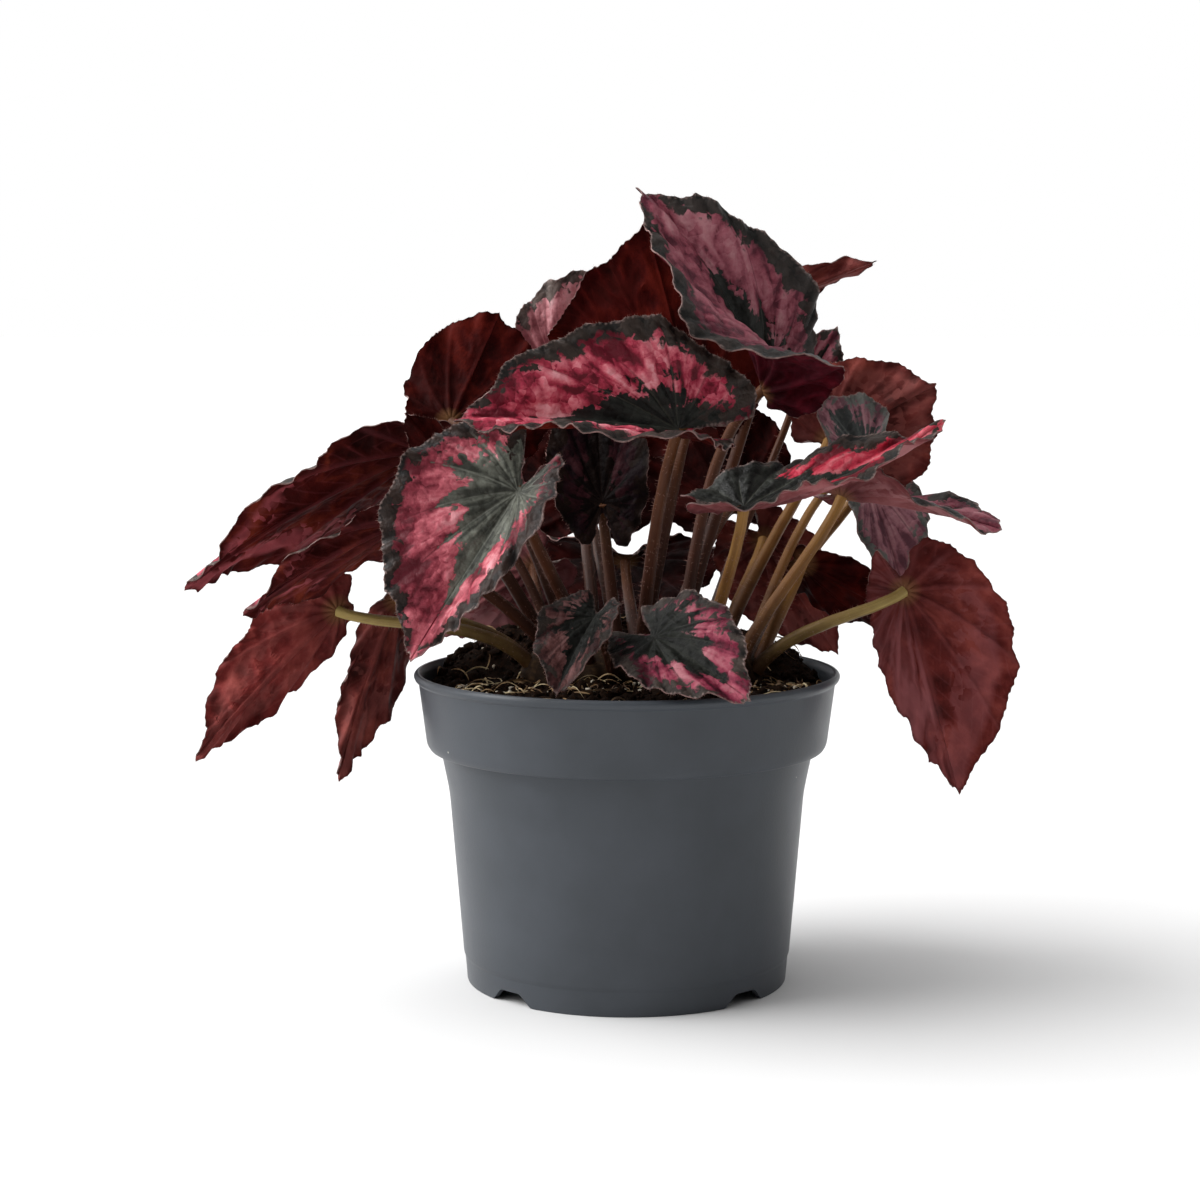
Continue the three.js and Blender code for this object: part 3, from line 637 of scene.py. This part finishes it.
# %% Bend and place a blade
def bent(leaf, x, across, t, ring, side, length):
    """Bends points at x along and across the blade: ten short steps out from the midrib turn
    up by the fold, waves lift the margin, and the midrib rolls back on a circle."""
    cup = halves(leaf.get("cup", 0))[side]
    fold = halves(leaf["fold"])[side] + cup * (1 - smooth(x, -0.1, 0.6))
    q = (np.arange(10) + 0.5) / 10 * across[..., None]
    turn = np.radians(fold[..., None] * (1 - np.exp(-q / 0.03)))
    y, z = np.cos(turn).mean(-1) * across, np.sin(turn).mean(-1) * across
    edge = np.sin(np.pi * np.minimum(1, t * 1.02)).clip(0) ** 0.5
    z = z + leaf["wave"] / length * ring ** 2 * edge * np.sin(t * 22 + side * 2)
    y = np.where(side == 1, -y, y)
    twist = np.radians(leaf.get("twist", 0)) * x
    y, z = y * np.cos(twist) - z * np.sin(twist), y * np.sin(twist) + z * np.cos(twist)
    bend = np.radians(leaf["arch"])
    return np.stack([np.sin(bend * x) / bend + z * np.sin(bend * x), y,
                     (np.cos(bend * x) - 1) / bend + z * np.cos(bend * x)], -1)


def placing(leaf):
    """The turn and the scale that put the bent blade's tip and knot where they belong."""
    knot, chord = np.array(leaf["knot"], float), np.subtract(leaf["tip"], leaf["knot"])
    bend = np.radians(leaf["arch"])
    own_tip = np.array([np.sin(bend) / bend, 0, (np.cos(bend) - 1) / bend])

    def axes(x, z):
        z = unit(z - x * np.dot(x, z))
        return np.column_stack([x, np.cross(z, x), z])

    turn = axes(unit(chord), np.array(leaf["face"], float))
    turn = turn @ axes(unit(own_tip), np.array([0, 0, 1.0])).T
    length = np.linalg.norm(chord) / np.linalg.norm(own_tip)
    return turn, length, knot


# %% [markdown]
# The main veins leave the knot at set angles and curve towards the tip. v counts them, so
# it is whole on a vein and a half between two. w counts the finer veins that leave them
# like the barbs of a feather. Both change smoothly, so a material can draw lines from them
# that are finer than the mesh. The heart ends at a share of the way out: a little over a
# third, or what the leaf's row says, with rear more towards the notch.

# %% Veins and painted zones
BARBS = 5.5  # mm from one fine vein to the next


def veins(x, across, length):
    """v from the angle at the knot, with a little added further out; the distance to the next
    main vein; and w, the distance from the knot less 1.2 of that, in barbs."""
    radius = np.hypot(x, across)
    angle = np.arctan2(across, x)
    angle = np.degrees(angle + 0.45 * radius * np.sin(angle))
    starts = np.array([0, 25, 52, 84, 120, 152, 185, 240])
    v = np.interp(angle, starts, np.arange(8))
    gap = np.interp(v, np.arange(7) + 0.5, np.diff(starts))
    spacing = radius * length * np.radians(gap)
    vein = np.abs(v - np.round(v)) * spacing
    return v, vein, (radius * length - 1.2 * vein) / BARBS, spacing


def edge_distance(flat):
    """Distance from each point to the nearest of every other point of the margin."""
    apart = flat.reshape(-1, 1, 2) - flat[-1][None, ::2]
    return np.sqrt((apart ** 2).sum(-1).min(1)).reshape(flat.shape[:2])


def normals(points):
    """Across a grid of points: the way out from the knot crossed with the way round."""
    way = np.roll(points, -1, axis=1) - np.roll(points, 1, axis=1)
    return unit(np.cross(np.gradient(points, axis=0), way))


def blade_points(leaf, number, step=0.65):
    """The blade's middle surface as rings of points from the knot outwards, with its normals,
    and for each point its distances and the numbers its finishes read."""
    turn, length, knot = placing(leaf)
    t, side, way = even_columns(leaf, length, step)
    ring = np.linspace(0, 1, max(16, int(length / 1.4)) + 1)[1:, None]
    x, across = heart(leaf, t, side)
    coarse = 1 + 0.02 * np.cos(np.pi * leaf.get("points", 28) * t / 2) * np.sin(np.pi * t)
    reach = np.hypot(x, across) * length
    tooth = 1 + teeth(way, number) / reach * ring ** 9 * smooth(t, 0.02, 0.1) * smooth(t, 1.0, 0.93)
    x, across = x * coarse * ring * tooth, across * coarse * ring * tooth
    side, t = side + 0 * ring.astype(int), t + 0 * ring
    flat = bent(leaf, x, across, t, ring + 0 * t, side, length)
    points = flat @ turn.T * length + knot
    normal = normals(points)
    v, vein, w, spacing = veins(x, across, length)
    barb = np.abs(w - np.round(w)) * BARBS
    edge = edge_distance(np.stack([x, np.where(side == 1, -across, across)], -1)) * length
    pillow = 1 - np.exp(-2.6 * np.abs(uneven(points, 11, number)))
    pillow *= 1 - 0.5 * np.exp(-3 * np.abs(uneven(points, 5, number + 40)))
    quilt = 1.45 * (1 - np.exp(-vein / 2.2)) * (0.25 + pillow)
    quilt *= smooth(edge, 0, 3) * min(1, length / 55)
    ruffle = ring ** 7 * np.sin(way / 1.3 + 2.2 * np.sin(way / 8 + number)) * smooth(t, 0.04, 0.2)
    points += normal * (quilt + 0.8 * ruffle * min(1, length / 50))[..., None]
    normal = normals(points)
    heart_edge = leaf.get("heart", 0.36) + leaf.get("rear", 0) * smooth(t, 0.4, 0.65)
    heart_edge += 0.12 * np.exp(-vein / 1.6) + 0.2 * np.exp(-v ** 2 * 2.5)
    zone = (ring - heart_edge) * np.maximum(reach, 0.35 * length)
    band = 0.015 + 0.06 * smooth(t, 0.04, 0.35)
    band = np.minimum(band, 0.35 * np.abs(across[-1])) * length
    numbers = {"vein": [np.where(side == 1, -v, v) + 16 * number, w, spacing],
               "zone": [zone, edge - band, np.hypot(x, across) * length],
               "relief": [edge, pillow, ruffle]}
    numbers = {name: np.stack(np.broadcast_arrays(*kept), -1) for name, kept in numbers.items()}
    return points, normal, vein, barb, edge, numbers, knot

# %% [markdown]
# ## Finish of the painted face
# A green-black heart feathered along the veins, a crimson and silvery-pink band, and a dark
# margin with a ragged border. Pigment gives the colours, and air under the skin of each
# small cushion between the finest veins gives the silver, so the band is a mosaic of
# cushions, drawn out along the veins.

# %% Painted upper side
def leaf_numbers(tree):
    """The numbers kept at each point. From v and w, which count the veins, come the distances
    in mm to a main and to a fine one: a zigzag between whole numbers, times the spacing."""
    split = []
    for name in ("vein", "zone", "relief"):
        kept = add(tree, "Attribute", attribute_name=name).outputs["Vector"]
        split += list(add(tree, "SeparateXYZ", {"Vector": kept}).outputs)
    v, w, spacing, *others = split
    main = calc(tree, "MULTIPLY", calc(tree, "PINGPONG", v, 0.5), spacing)
    barb = calc(tree, "MULTIPLY", calc(tree, "PINGPONG", w, 0.5), BARBS)
    return v, main, barb, *others


def leaf_grain(tree, v, reach):
    """Grains from 0 to 1: strokes along the veins, cushions 2.5 mm wide, as their colour and
    the distance from their middle, and flecks."""
    along = add(tree, "CombineXYZ", {"X": v, "Y": reach})
    wide = add(tree, "Mapping", {"Vector": along, "Scale": (2.8, 0.05, 1)})
    stroke = add(tree, "TexNoise", {"Vector": wide, "Scale": 1, "Detail": 2, "Roughness": 0.45,
                                    "Distortion": 0.6})
    sway = noise(tree, 300).outputs["Color"]
    place = add(tree, "TexCoord").outputs["Object"]
    shaken = add(tree, "VectorMath", {0: sway, 1: (0.003, 0.003, 0.003), 2: place},
                 operation="MULTIPLY_ADD")
    cells = add(tree, "TexVoronoi", {"Vector": shaken, "Scale": 400}, feature="F1")
    return stroke, cells.outputs["Color"], cells.outputs["Distance"], noise(tree, 700, 4, 0.7)


def stray(tree, border, grain, far):
    """A distance from a border, shifted by up to far mm either way by a grain."""
    return calc(tree, "ADD", border, remap(tree, grain, 0.36, 0.64, -far, far))


def vein_lines(tree, reach, main, wide, soft, most):
    """Lines along the main veins: wide is half their width in mm at the knot and 60 mm out,
    soft where their border fades, and most their greatest strength."""
    half = remap(tree, reach, 0, 60, *wide)
    return remap(tree, calc(tree, "SUBTRACT", half, main), *soft, 0, most)


def painted_face(name, paints, heart, rim, mosaic, vein_code, hem_code, shine=0.2, ragged=5.5):
    """The upper side, from the colours of the band, deepest first, of the heart and of the
    margin, the share of mosaic in the band, the colours of veins and hem, the specular
    level, and how far the heart's border strays, in mm."""
    made, tree, shader = finish(name, 0.45, shine)
    v, main, barb, centre, margin, reach, edge, pillow, ruffle = leaf_numbers(tree)
    stroke, cushion, from_middle, fleck = leaf_grain(tree, v, reach)
    rag = mix(tree, 0.25, mix(tree, 0.32, stroke, cushion), fleck)
    tone = mix(tree, 0.2, mix(tree, mosaic, stroke, cushion), fleck)
    past_heart = remap(tree, stray(tree, centre, rag, ragged), -0.7, 0.7)
    inside_rim = remap(tree, stray(tree, margin, rag, -2.6), -0.4, 0.6)
    band = calc(tree, "MULTIPLY", past_heart, inside_rim)

    drift = remap(tree, noise(tree, 55, 1), 0.3, 0.7, -0.07, 0.07)
    lift = calc(tree, "MULTIPLY_ADD", pillow, 0.14, calc(tree, "ADD", tone, drift))
    # painted shade of the margin's ruffles: their crests pick lighter rim colours
    fold = calc(tree, "MULTIPLY_ADD", ruffle, 0.1, rag)
    dark = mix(tree, past_heart, ramp(tree, lift, (0.48, 0.72), heart),
               ramp(tree, fold, (0.4, 0.62), rim))
    body = mix(tree, band, dark, ramp(tree, lift, (0.47, 0.55, 0.63, 0.75), paints))
    bold = remap(tree, margin, -1, 2, 0, 0.45)
    line = vein_lines(tree, reach, main, (0.34, 0.2), (-0.15, 0.1), bold)
    veined = mix(tree, line, body, mix(tree, band, vein_code, paints.split()[0]))
    bare = remap(tree, fleck, 0.4, 0.6, 0.1, 0.9)
    colour = mix(tree, remap(tree, edge, 0.75, 0.25, 0, bare), veined, hem_code)

    dome = calc(tree, "MULTIPLY_ADD", from_middle, -1.2, fleck)
    plug(tree, shader, {"Base Color": colour, "Normal": bump(tree, dome, 0.6, 0.0006),
                        "Roughness": remap(tree, fleck, 0, 1, 0.36, 0.62)})
    return made


def dress(kind, finish_of, rows):
    """A finish for each row of a table, and which leaf wears which: the leaves end the row."""
    worn = {}
    for name, *numbers, leaves in rows:
        made = finish_of(kind + name, *numbers)
        worn.update(dict.fromkeys(leaves.split(), made))
    return worn


VEIN, HEM = "#47483f", "#85716c"
HEART, RIM = "#0d0e0b #2e302b", "#100d0b #362c27"
upper_finish = dress("begonia_leaf_painted_", painted_face, [
    ("bright", "#5d0f1f #a53046 #cb6371 #e8a3a9", HEART, RIM, 0.2, VEIN, HEM, "others"),
    # frosted: the leaf's own colours, with a lighter heart as painted sheen
    ("frosted", "#5a1823 #8d3643 #bb5d68 #e0999f", "#383933 #7a7c71", "#0d0908 #2b1d18",
     0.12, "#83857a", "#8c7772", "front_left"),
    ("muted", "#521f2c #803c49 #995762 #af797f", "#0d0e0b #2c2e29", "#11100e #332c29",
     0.14, VEIN, HEM, "top right_tip back_right_small"),
    ("rosy", "#8d5157 #b6747a #cc8e93 #d8a7aa", "#2b2c28 #4a4b45", "#231c1a #5f524d",
     0.14, VEIN, HEM, "back_left"),
    ("slate", "#5a353e #85565f #9b6b72 #ae878a", "#2a2d2c #5a5e5a", "#2e2f2c #61625d",
     0.14, "#4c504d", HEM, "right_mid right_hang"),
    ("vivid", "#5f0d1b #9c172f #bf3348 #d4757d", HEART, RIM, 0.1, VEIN, HEM, 0.2, 2.5,
     "right_curled"),
    ("plum", "#3c0e1b #76243a #974656 #b07179", "#0c0d0a #262823", "#151110 #3c332e",
     0.15, "#2e2f29", HEM, 0.12, 4, "small_right"),
    ("dusky", "#331b1b #573533 #6e4a48 #856160", "#0a0b08 #1d1e1a", "#0f0c0b #332b27",
     0.2, "#23241f", "#6c5d58", 0.12, 4, "small_left"),
    # deep: near-black colours, painted shade for a leaf deep in the foliage
    ("deep", "#10070a #1a0a0e #260f13 #331a1d", "#070303 #130b09", "#0a0504 #1a100d",
     0.2, "#160e0b", "#2a1f1d", 0.03, "inner_dark")])
print("painted finishes:", len(set(upper_finish.values())))

# %% [markdown]
# ## Finish of the underside
# Underneath, a red pigment that throws light back into the leaf makes it deep maroon. It is
# painted browner where light comes through, rosier behind the band, and paler on the veins,
# with painted shade in its hollows, near the knot and along the margin.

# %% Underside and cut edge
def under_face(name, body, rose, share, start, shine, half=0):
    """The lower side, from its colours as painted shade in hollows, between veins, and as a
    painted glow where light comes through, and the rose behind the band: the share of it, how
    far past the heart it starts, in mm, the specular level, and how strongly one half, which
    turns another way, shows streaks of the rose as painted light."""
    made, tree, shader = finish(name, 0.62, shine)
    v, main, barb, centre, margin, reach, edge, pillow, ruffle = leaf_numbers(tree)
    stroke, cushion, from_middle, fleck = leaf_grain(tree, v, reach)
    mixed = mix(tree, 0.2, noise(tree, 75, 3, 0.55), fleck)
    # painted shade: the hollows between the veins are darker, by the pillow
    light = calc(tree, "MULTIPLY_ADD", pillow, -0.2, mixed)
    out = stray(tree, centre, mix(tree, 0.35, stroke, cushion), 7)
    behind = remap(tree, out, start, start + 6, 0, share)
    rosy = calc(tree, "MULTIPLY", behind, remap(tree, margin, -1, 1))
    # painted light: the half that turns another way gets streaks of rose
    turned = calc(tree, "FLOORED_MODULO", v, 16)
    streaks = remap(tree, stroke, 0.35, 0.6, 0, half)
    turned_half_light = remap(tree, turned, 9, 8, 0, remap(tree, turned, 0, 0.15, 0, streaks))
    flushed = mix(tree, calc(tree, "MAXIMUM", rosy, turned_half_light),
                  ramp(tree, light, (0.2, 0.42, 0.58), body), rose)
    line = vein_lines(tree, reach, main, (0.8, 0.25), (-0.7, 0.4), 0.17)
    drawn = calc(tree, "MAXIMUM", line, remap(tree, barb, 0.6, 0.1, 0, 0.1))
    veined = mix(tree, drawn, flushed, rose)
    shade = body.split()[0]
    # painted shade: darker towards the knot, mixed towards the shade colour
    deep = mix(tree, remap(tree, reach, 5, 26, 0.6, 0), veined, shade)
    joined = mix(tree, remap(tree, reach, 1.5, 5, 0.7, 0), deep, "#6e4f32")
    # painted shade: darker along the margin
    colour = mix(tree, remap(tree, edge, 1, 0.3, 0, 0.5), joined, shade)
    plug(tree, shader, {"Base Color": colour, "Normal": bump(tree, mixed, 0.8, 0.0012)})
    return made


under_finish = dress("begonia_underside_", under_face, [
    # lit and dark are the same underside, painted as if in light and in shade
    ("lit", "#3d1413 #6f2826 #92423c", "#9c5954", 0.25, 4, 0.06, "low_left"),
    # brown: the maroon is painted browner, as a painted glow of light coming through
    ("brown", "#2f100e #5a2320 #7f3b33", "#8f504b", 0.35, 4, 0.06,
     "low_left_inner right_under right_high back_right"),
    # folded: its turned half gets painted light, as streaks of rose
    ("folded", "#360f0e #5f221f #823b35", "#935557", 0.35, 4, 0.06, 0.8, "low_right"),
    ("dark", "#180302 #330605 #52140d", "#531713", 0.15, 6, 0.03, "others"),
    ("rosy", "#4e2426 #834648 #9c5e60", "#b27b7d", 0.6, 1, 0.1,
     "right_curled inner_left right_tip"),
    ("plum", "#1d0407 #3c0812 #5c121f", "#6e2836", 0.2, 4, 0.04, "top right_hang"),
    ("flushed", "#240706 #471210 #6e2a1c", "#a04f55", 0.8, 15, 0.06, "far_left left_curled"),
    # deep: near-black colours, painted shade for leaves deep in the foliage
    ("deep", "#0b0101 #1c0403 #360d0a", "#3d1311", 0.15, 6, 0.02,
     "centre_back inner_back low_back")])
# the cut edge's own colour, darkened as painted shade along the outline
cut_edge_shaded = grainy("leaf_margin_edge", 0.6, 0.3, (300, 2), (0.35, 0.6), "#3f2a27 #7d605c")
print("underside finishes:", len(set(under_finish.values())))

# %% [markdown]
# ## Build the blades
# The middle surface is moved to both sides, so a blade thins from half a millimetre at the
# knot to a third at the margin, where a rim closes it. Below, the veins stand out as ridges.

# %% Build the blades
def blade(leaf, number, upper, under):
    """Two skins and a rim from one middle surface, with the numbers that its finishes read."""
    points, normal, vein, barb, edge, numbers, knot = blade_points(leaf, number)
    rows, columns = points.shape[:2]
    ring = np.linspace(0, 1, rows + 1)[1:, None] + 0 * vein
    half = (0.27 - 0.11 * ring ** 2)[..., None]
    ridge = 0.55 * np.exp(-((vein / 0.7) ** 2)) * (1 - 0.7 * ring)
    ridge += 0.12 * np.exp(-((barb / 0.5) ** 2))
    ridge = (ridge * smooth(edge, 0, 4) * smooth(ring, 0, 0.06))[..., None]
    up, down = points + normal * half, points - normal * (half + ridge)
    centre = unit(normal[0].sum(0))
    skin = [np.vstack([grid.reshape(-1, 3), knot + centre * high])
            for grid, high in ((up, 0.27), (down, -0.27))]
    n = len(skin[0])
    grid, fan = ring_faces(rows, columns), cap_faces(0, columns, n - 1, False)
    last = n - 1 - columns + np.arange(columns)
    next_ = np.roll(last, -1)
    rim = np.stack([next_, last, last + n, next_ + n], -1)
    faces = [grid[:, ::-1], fan, grid + n, fan[:, ::-1] + n, rim]
    which = np.repeat([0, 0, 1, 1, 2], [len(f) for f in faces])
    made = piece(leaf["name"] + "_leaf", np.vstack(skin), faces, [upper, under, cut_edge_shaded], which,
                 [leaf["name"] + "_blade"], "blade", sharp=50)
    for name, kept in numbers.items():
        one = np.vstack([kept.reshape(-1, 3), kept[0].mean(0)])
        mark(made, name, np.vstack([one, one]))
    return points[-1], unit(points[-1] - points[-3])


margins = {}
for number, leaf in enumerate(LEAVES):
    upper, under = [worn.get(leaf["name"], worn["others"]) for worn in (upper_finish, under_finish)]
    margins[leaf["name"]] = blade(leaf, number, upper, under)
leaves = [made for made in bpy.data.objects if made.name.endswith("_leaf")]
print("blades:", sum(len(made.data.polygons) for made in leaves), "faces")

# %% [markdown]
# ## The stalks
# A stalk is a tube along one smooth curve, up from the rhizome and into the knot from below:
# juicy, ribbed, thicker at its foot, olive and tan with a red flush.

# %% Build the stalks
def stalk_line(leaf, count):
    """A cubic curve from the rhizome to the knot, cut into steps of equal length."""
    turn, length, knot = placing(leaf)
    root = np.array([*leaf["root"], 88.0])
    reach = knot - root
    span = np.linalg.norm(reach)
    leave = unit(np.array([reach[0] * 0.4, reach[1] * 0.4, span * 0.5]))
    arrive = unit(np.array(leaf.get("arrive", turn[:, 2] + unit(reach)), float))
    first, second = root + leave * span * 0.36, knot - arrive * span * 0.3
    u = np.linspace(0, 1, 400)[:, None]
    line = (1 - u) ** 3 * root + 3 * (1 - u) ** 2 * u * first
    line = line + 3 * (1 - u) * u ** 2 * second + u ** 3 * knot
    run = np.concatenate([[0], np.cumsum(np.linalg.norm(np.diff(line, axis=0), axis=1))])
    goal = np.linspace(0, run[-1] - 0.35, count)
    return np.stack([np.interp(goal, run, line[:, k]) for k in range(3)], -1), run[-1]


def stalk_finish(name, codes):
    """A juicy, ribbed skin, from its colours at the foot, halfway and at the knot."""
    made, tree, shader = finish(name, 0.5, 0.18)
    kept = add(tree, "Attribute", attribute_name="run").outputs["Vector"]
    up, turn = add(tree, "SeparateXYZ", {"Vector": kept}).outputs[:2]
    shift = remap(tree, noise(tree, 150, 3, 0.6), 0, 1, -0.35, 0.35)
    body = ramp(tree, calc(tree, "ADD", up, shift), (0.05, 0.5, 0.95), codes)
    lines = add(tree, "CombineXYZ", {"X": turn, "Y": up})
    run = add(tree, "Mapping", {"Vector": lines, "Scale": (9, 2, 1)})
    fibre = add(tree, "TexNoise", {"Vector": run, "Scale": 1, "Detail": 3})
    colour = mix(tree, remap(tree, fibre, 0.4, 0.7, 0, 0.45), body, "#4c2f22")
    plug(tree, shader, {"Base Color": colour, "Normal": bump(tree, fibre, 0.4, 0.0004)})
    return made


stalk_skin = dress("begonia_stalk_", stalk_finish, [
    ("red", "#240d06 #3f1e0f #4f2c13", "others"),
    ("olive", "#3d200f #775027 #916a36",
     "right_high right_curled right_tip right_hang right_long right_under right_mid"),
    ("pale", "#40290f #80693c #9c8850", "low_left low_left_inner low_right")])


def stalk(leaf, skin):
    """A tube along the stalk's line, ribbed, and flared at its foot."""
    count, sides = 64, 20
    line, length = stalk_line(leaf, count)
    ahead = unit(np.gradient(line, axis=0))
    plane = unit(np.cross(ahead[0] + ahead[-1] * 0.3, [0.31, 0.22, 0.93]))
    right = unit(plane - ahead * (ahead @ plane)[:, None])
    over = np.cross(ahead, right)
    u = np.linspace(0, 1, count)[:, None]
    turn = turns(sides)
    flare = 1.2 - 0.3 * u + 0.25 * np.exp(-u / 0.05) + 0.12 * np.exp((u - 1) / 0.03)
    ribs = 1 + 0.035 * np.cos(5 * turn + 3 * u) + 0.02 * np.sin(u * 40 + turn)
    radius = leaf.get("stalk", 1.6) * flare * ribs
    way = np.cos(turn)[None, :, None] * right[:, None] + np.sin(turn)[None, :, None] * over[:, None]
    points = line[:, None] + radius[..., None] * way
    body = np.vstack([points.reshape(-1, 3), line[0], line[-1] + ahead[-1] * 0.2])
    made = piece(leaf["name"] + "_stem", body, tube_faces(count, sides), [skin],
                 replaces=[leaf["name"] + "_stalk"], slot="stalk")
    numbers = np.stack(np.broadcast_arrays(u, np.sin(turn)[None], 0.0), -1).reshape(-1, 3)
    mark(made, "run", np.vstack([numbers, [0, 0, 0], [1, 0, 0]]))
    return points, way, length


stems = {}
for leaf in LEAVES:
    stems[leaf["name"]] = stalk(leaf, stalk_skin.get(leaf["name"], stalk_skin["others"]))
print("stalks:", len(stems))

# %% [markdown]
# Hairs give the stalks and margins their soft outline against the light. A real one is
# 0.03 mm thick, finer than a pixel here, so each is drawn as a spike 0.08 mm thick.

# %% Set the hairs
def spikes(feet, ways, lengths, thick):
    """Three-sided spikes, each from a foot along its way, closed by a small base."""
    side = unit(np.cross(ways, [0.37, 0.51, 0.78]))
    other = np.cross(ways, side)
    turn = turns(3)[None, :, None]
    base = feet[:, None] + thick * (np.cos(turn) * side[:, None] + np.sin(turn) * other[:, None])
    points = np.concatenate([base, (feet + ways * lengths[:, None])[:, None]], axis=1)
    shape = [(0, 2, 1), (0, 1, 3), (1, 2, 3), (2, 0, 3)]
    return points.reshape(-1, 3), [copies(shape, len(feet), 4)]


hair = finish("begonia_hair", 0.5, code="#9a6f64")[0]
dice = np.random.default_rng(5)


def set_hairs(name, feet, ways, shortest, longest, thick, slot):
    """One piece of spikes of random length on all the feet."""
    feet, ways = np.vstack(feet), unit(np.vstack(ways))
    lengths = dice.uniform(shortest, longest, len(feet))
    piece(name, *spikes(feet, ways, lengths, thick), [hair], slot=slot)
    print(name, len(feet))


HAIRS_PER_MM = 3.5
feet, ways = [], []
for points, way, length in stems.values():
    count = int(length * HAIRS_PER_MM)
    row, column = dice.integers(6, 62, count), dice.integers(0, 20, count)
    feet.append(points[row, column])
    ways.append(way[row, column] + dice.normal(0, 0.28, (count, 3)))
set_hairs("stalk_hairs", feet, ways, 0.5, 1.5, 0.04, "stalk")
edges, outs = zip(*margins.values())
ways = [out + dice.normal(0, 0.35, out.shape) for out in outs]
set_hairs("margin_hairs", edges, ways, 0.3, 0.9, 0.035, "blade")

# %% [markdown]
# ## The studio
# A white floor, and a large soft lamp far to the left for the shadow that falls to the
# right. The room is bright behind the plant and dim behind the camera, so the front of the
# pot is darker than its sides.

# %% Floor, lamp and room
white = finish("studio_floor", 0.9, 0, "#dadada")[0]
bpy.ops.mesh.primitive_plane_add(size=60)
floor = bpy.context.object
floor.name = "studio_floor"
floor.data.materials.append(white)
floor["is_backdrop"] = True


# The lamp is a disc 48 degrees wide, 48.5 degrees up, just behind the plant's left.
LAMP_WIDE, LAMP_ROUND, LAMP_UP = np.radians((48, 182.5, 48.5))
lamp = bpy.data.lights.new("key_lamp", "SUN")
lamp.energy, lamp.angle = 3.1, LAMP_WIDE
key_lamp = bpy.data.objects.new("key_lamp", lamp)
key_lamp.rotation_euler = (0, np.pi / 2 - LAMP_UP, LAMP_ROUND)
scene.collection.objects.link(key_lamp)

room = bpy.data.worlds.new("studio_room")
room.use_nodes = True
scene.world = room
tree = room.node_tree
way = add(tree, "SeparateXYZ", {"Vector": add(tree, "TexCoord").outputs["Generated"]}).outputs
behind = remap(tree, way["Y"], -0.4, 1, 0.03, 1)
left = remap(tree, way["X"], -0.35, -1, 0, 2.8)
above = remap(tree, way["Z"], 0.3, 1, 0, 0.52)
glow = calc(tree, "ADD", calc(tree, "ADD", behind, left), above)
seen = add(tree, "LightPath").outputs["Is Camera Ray"]
plug(tree, tree.nodes["Background"], {"Color": mix(tree, seen, glow, "#ffffff")})
scene.view_settings.view_transform = "Standard"
scene.view_settings.look = "None"
print("light: one lamp and the room")

# %% [markdown]
# Last, the boxes of the measured model and of the finished one are written side by side,
# to see that the fine work has not changed the plant's size.

# %% Compare the sizes
dressed_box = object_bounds()
for label, box in (("model", model_box), ("dressed", dressed_box)):
    print(label, "box in mm:", [[round(float(v) * 1000, 1) for v in c] for c in box])
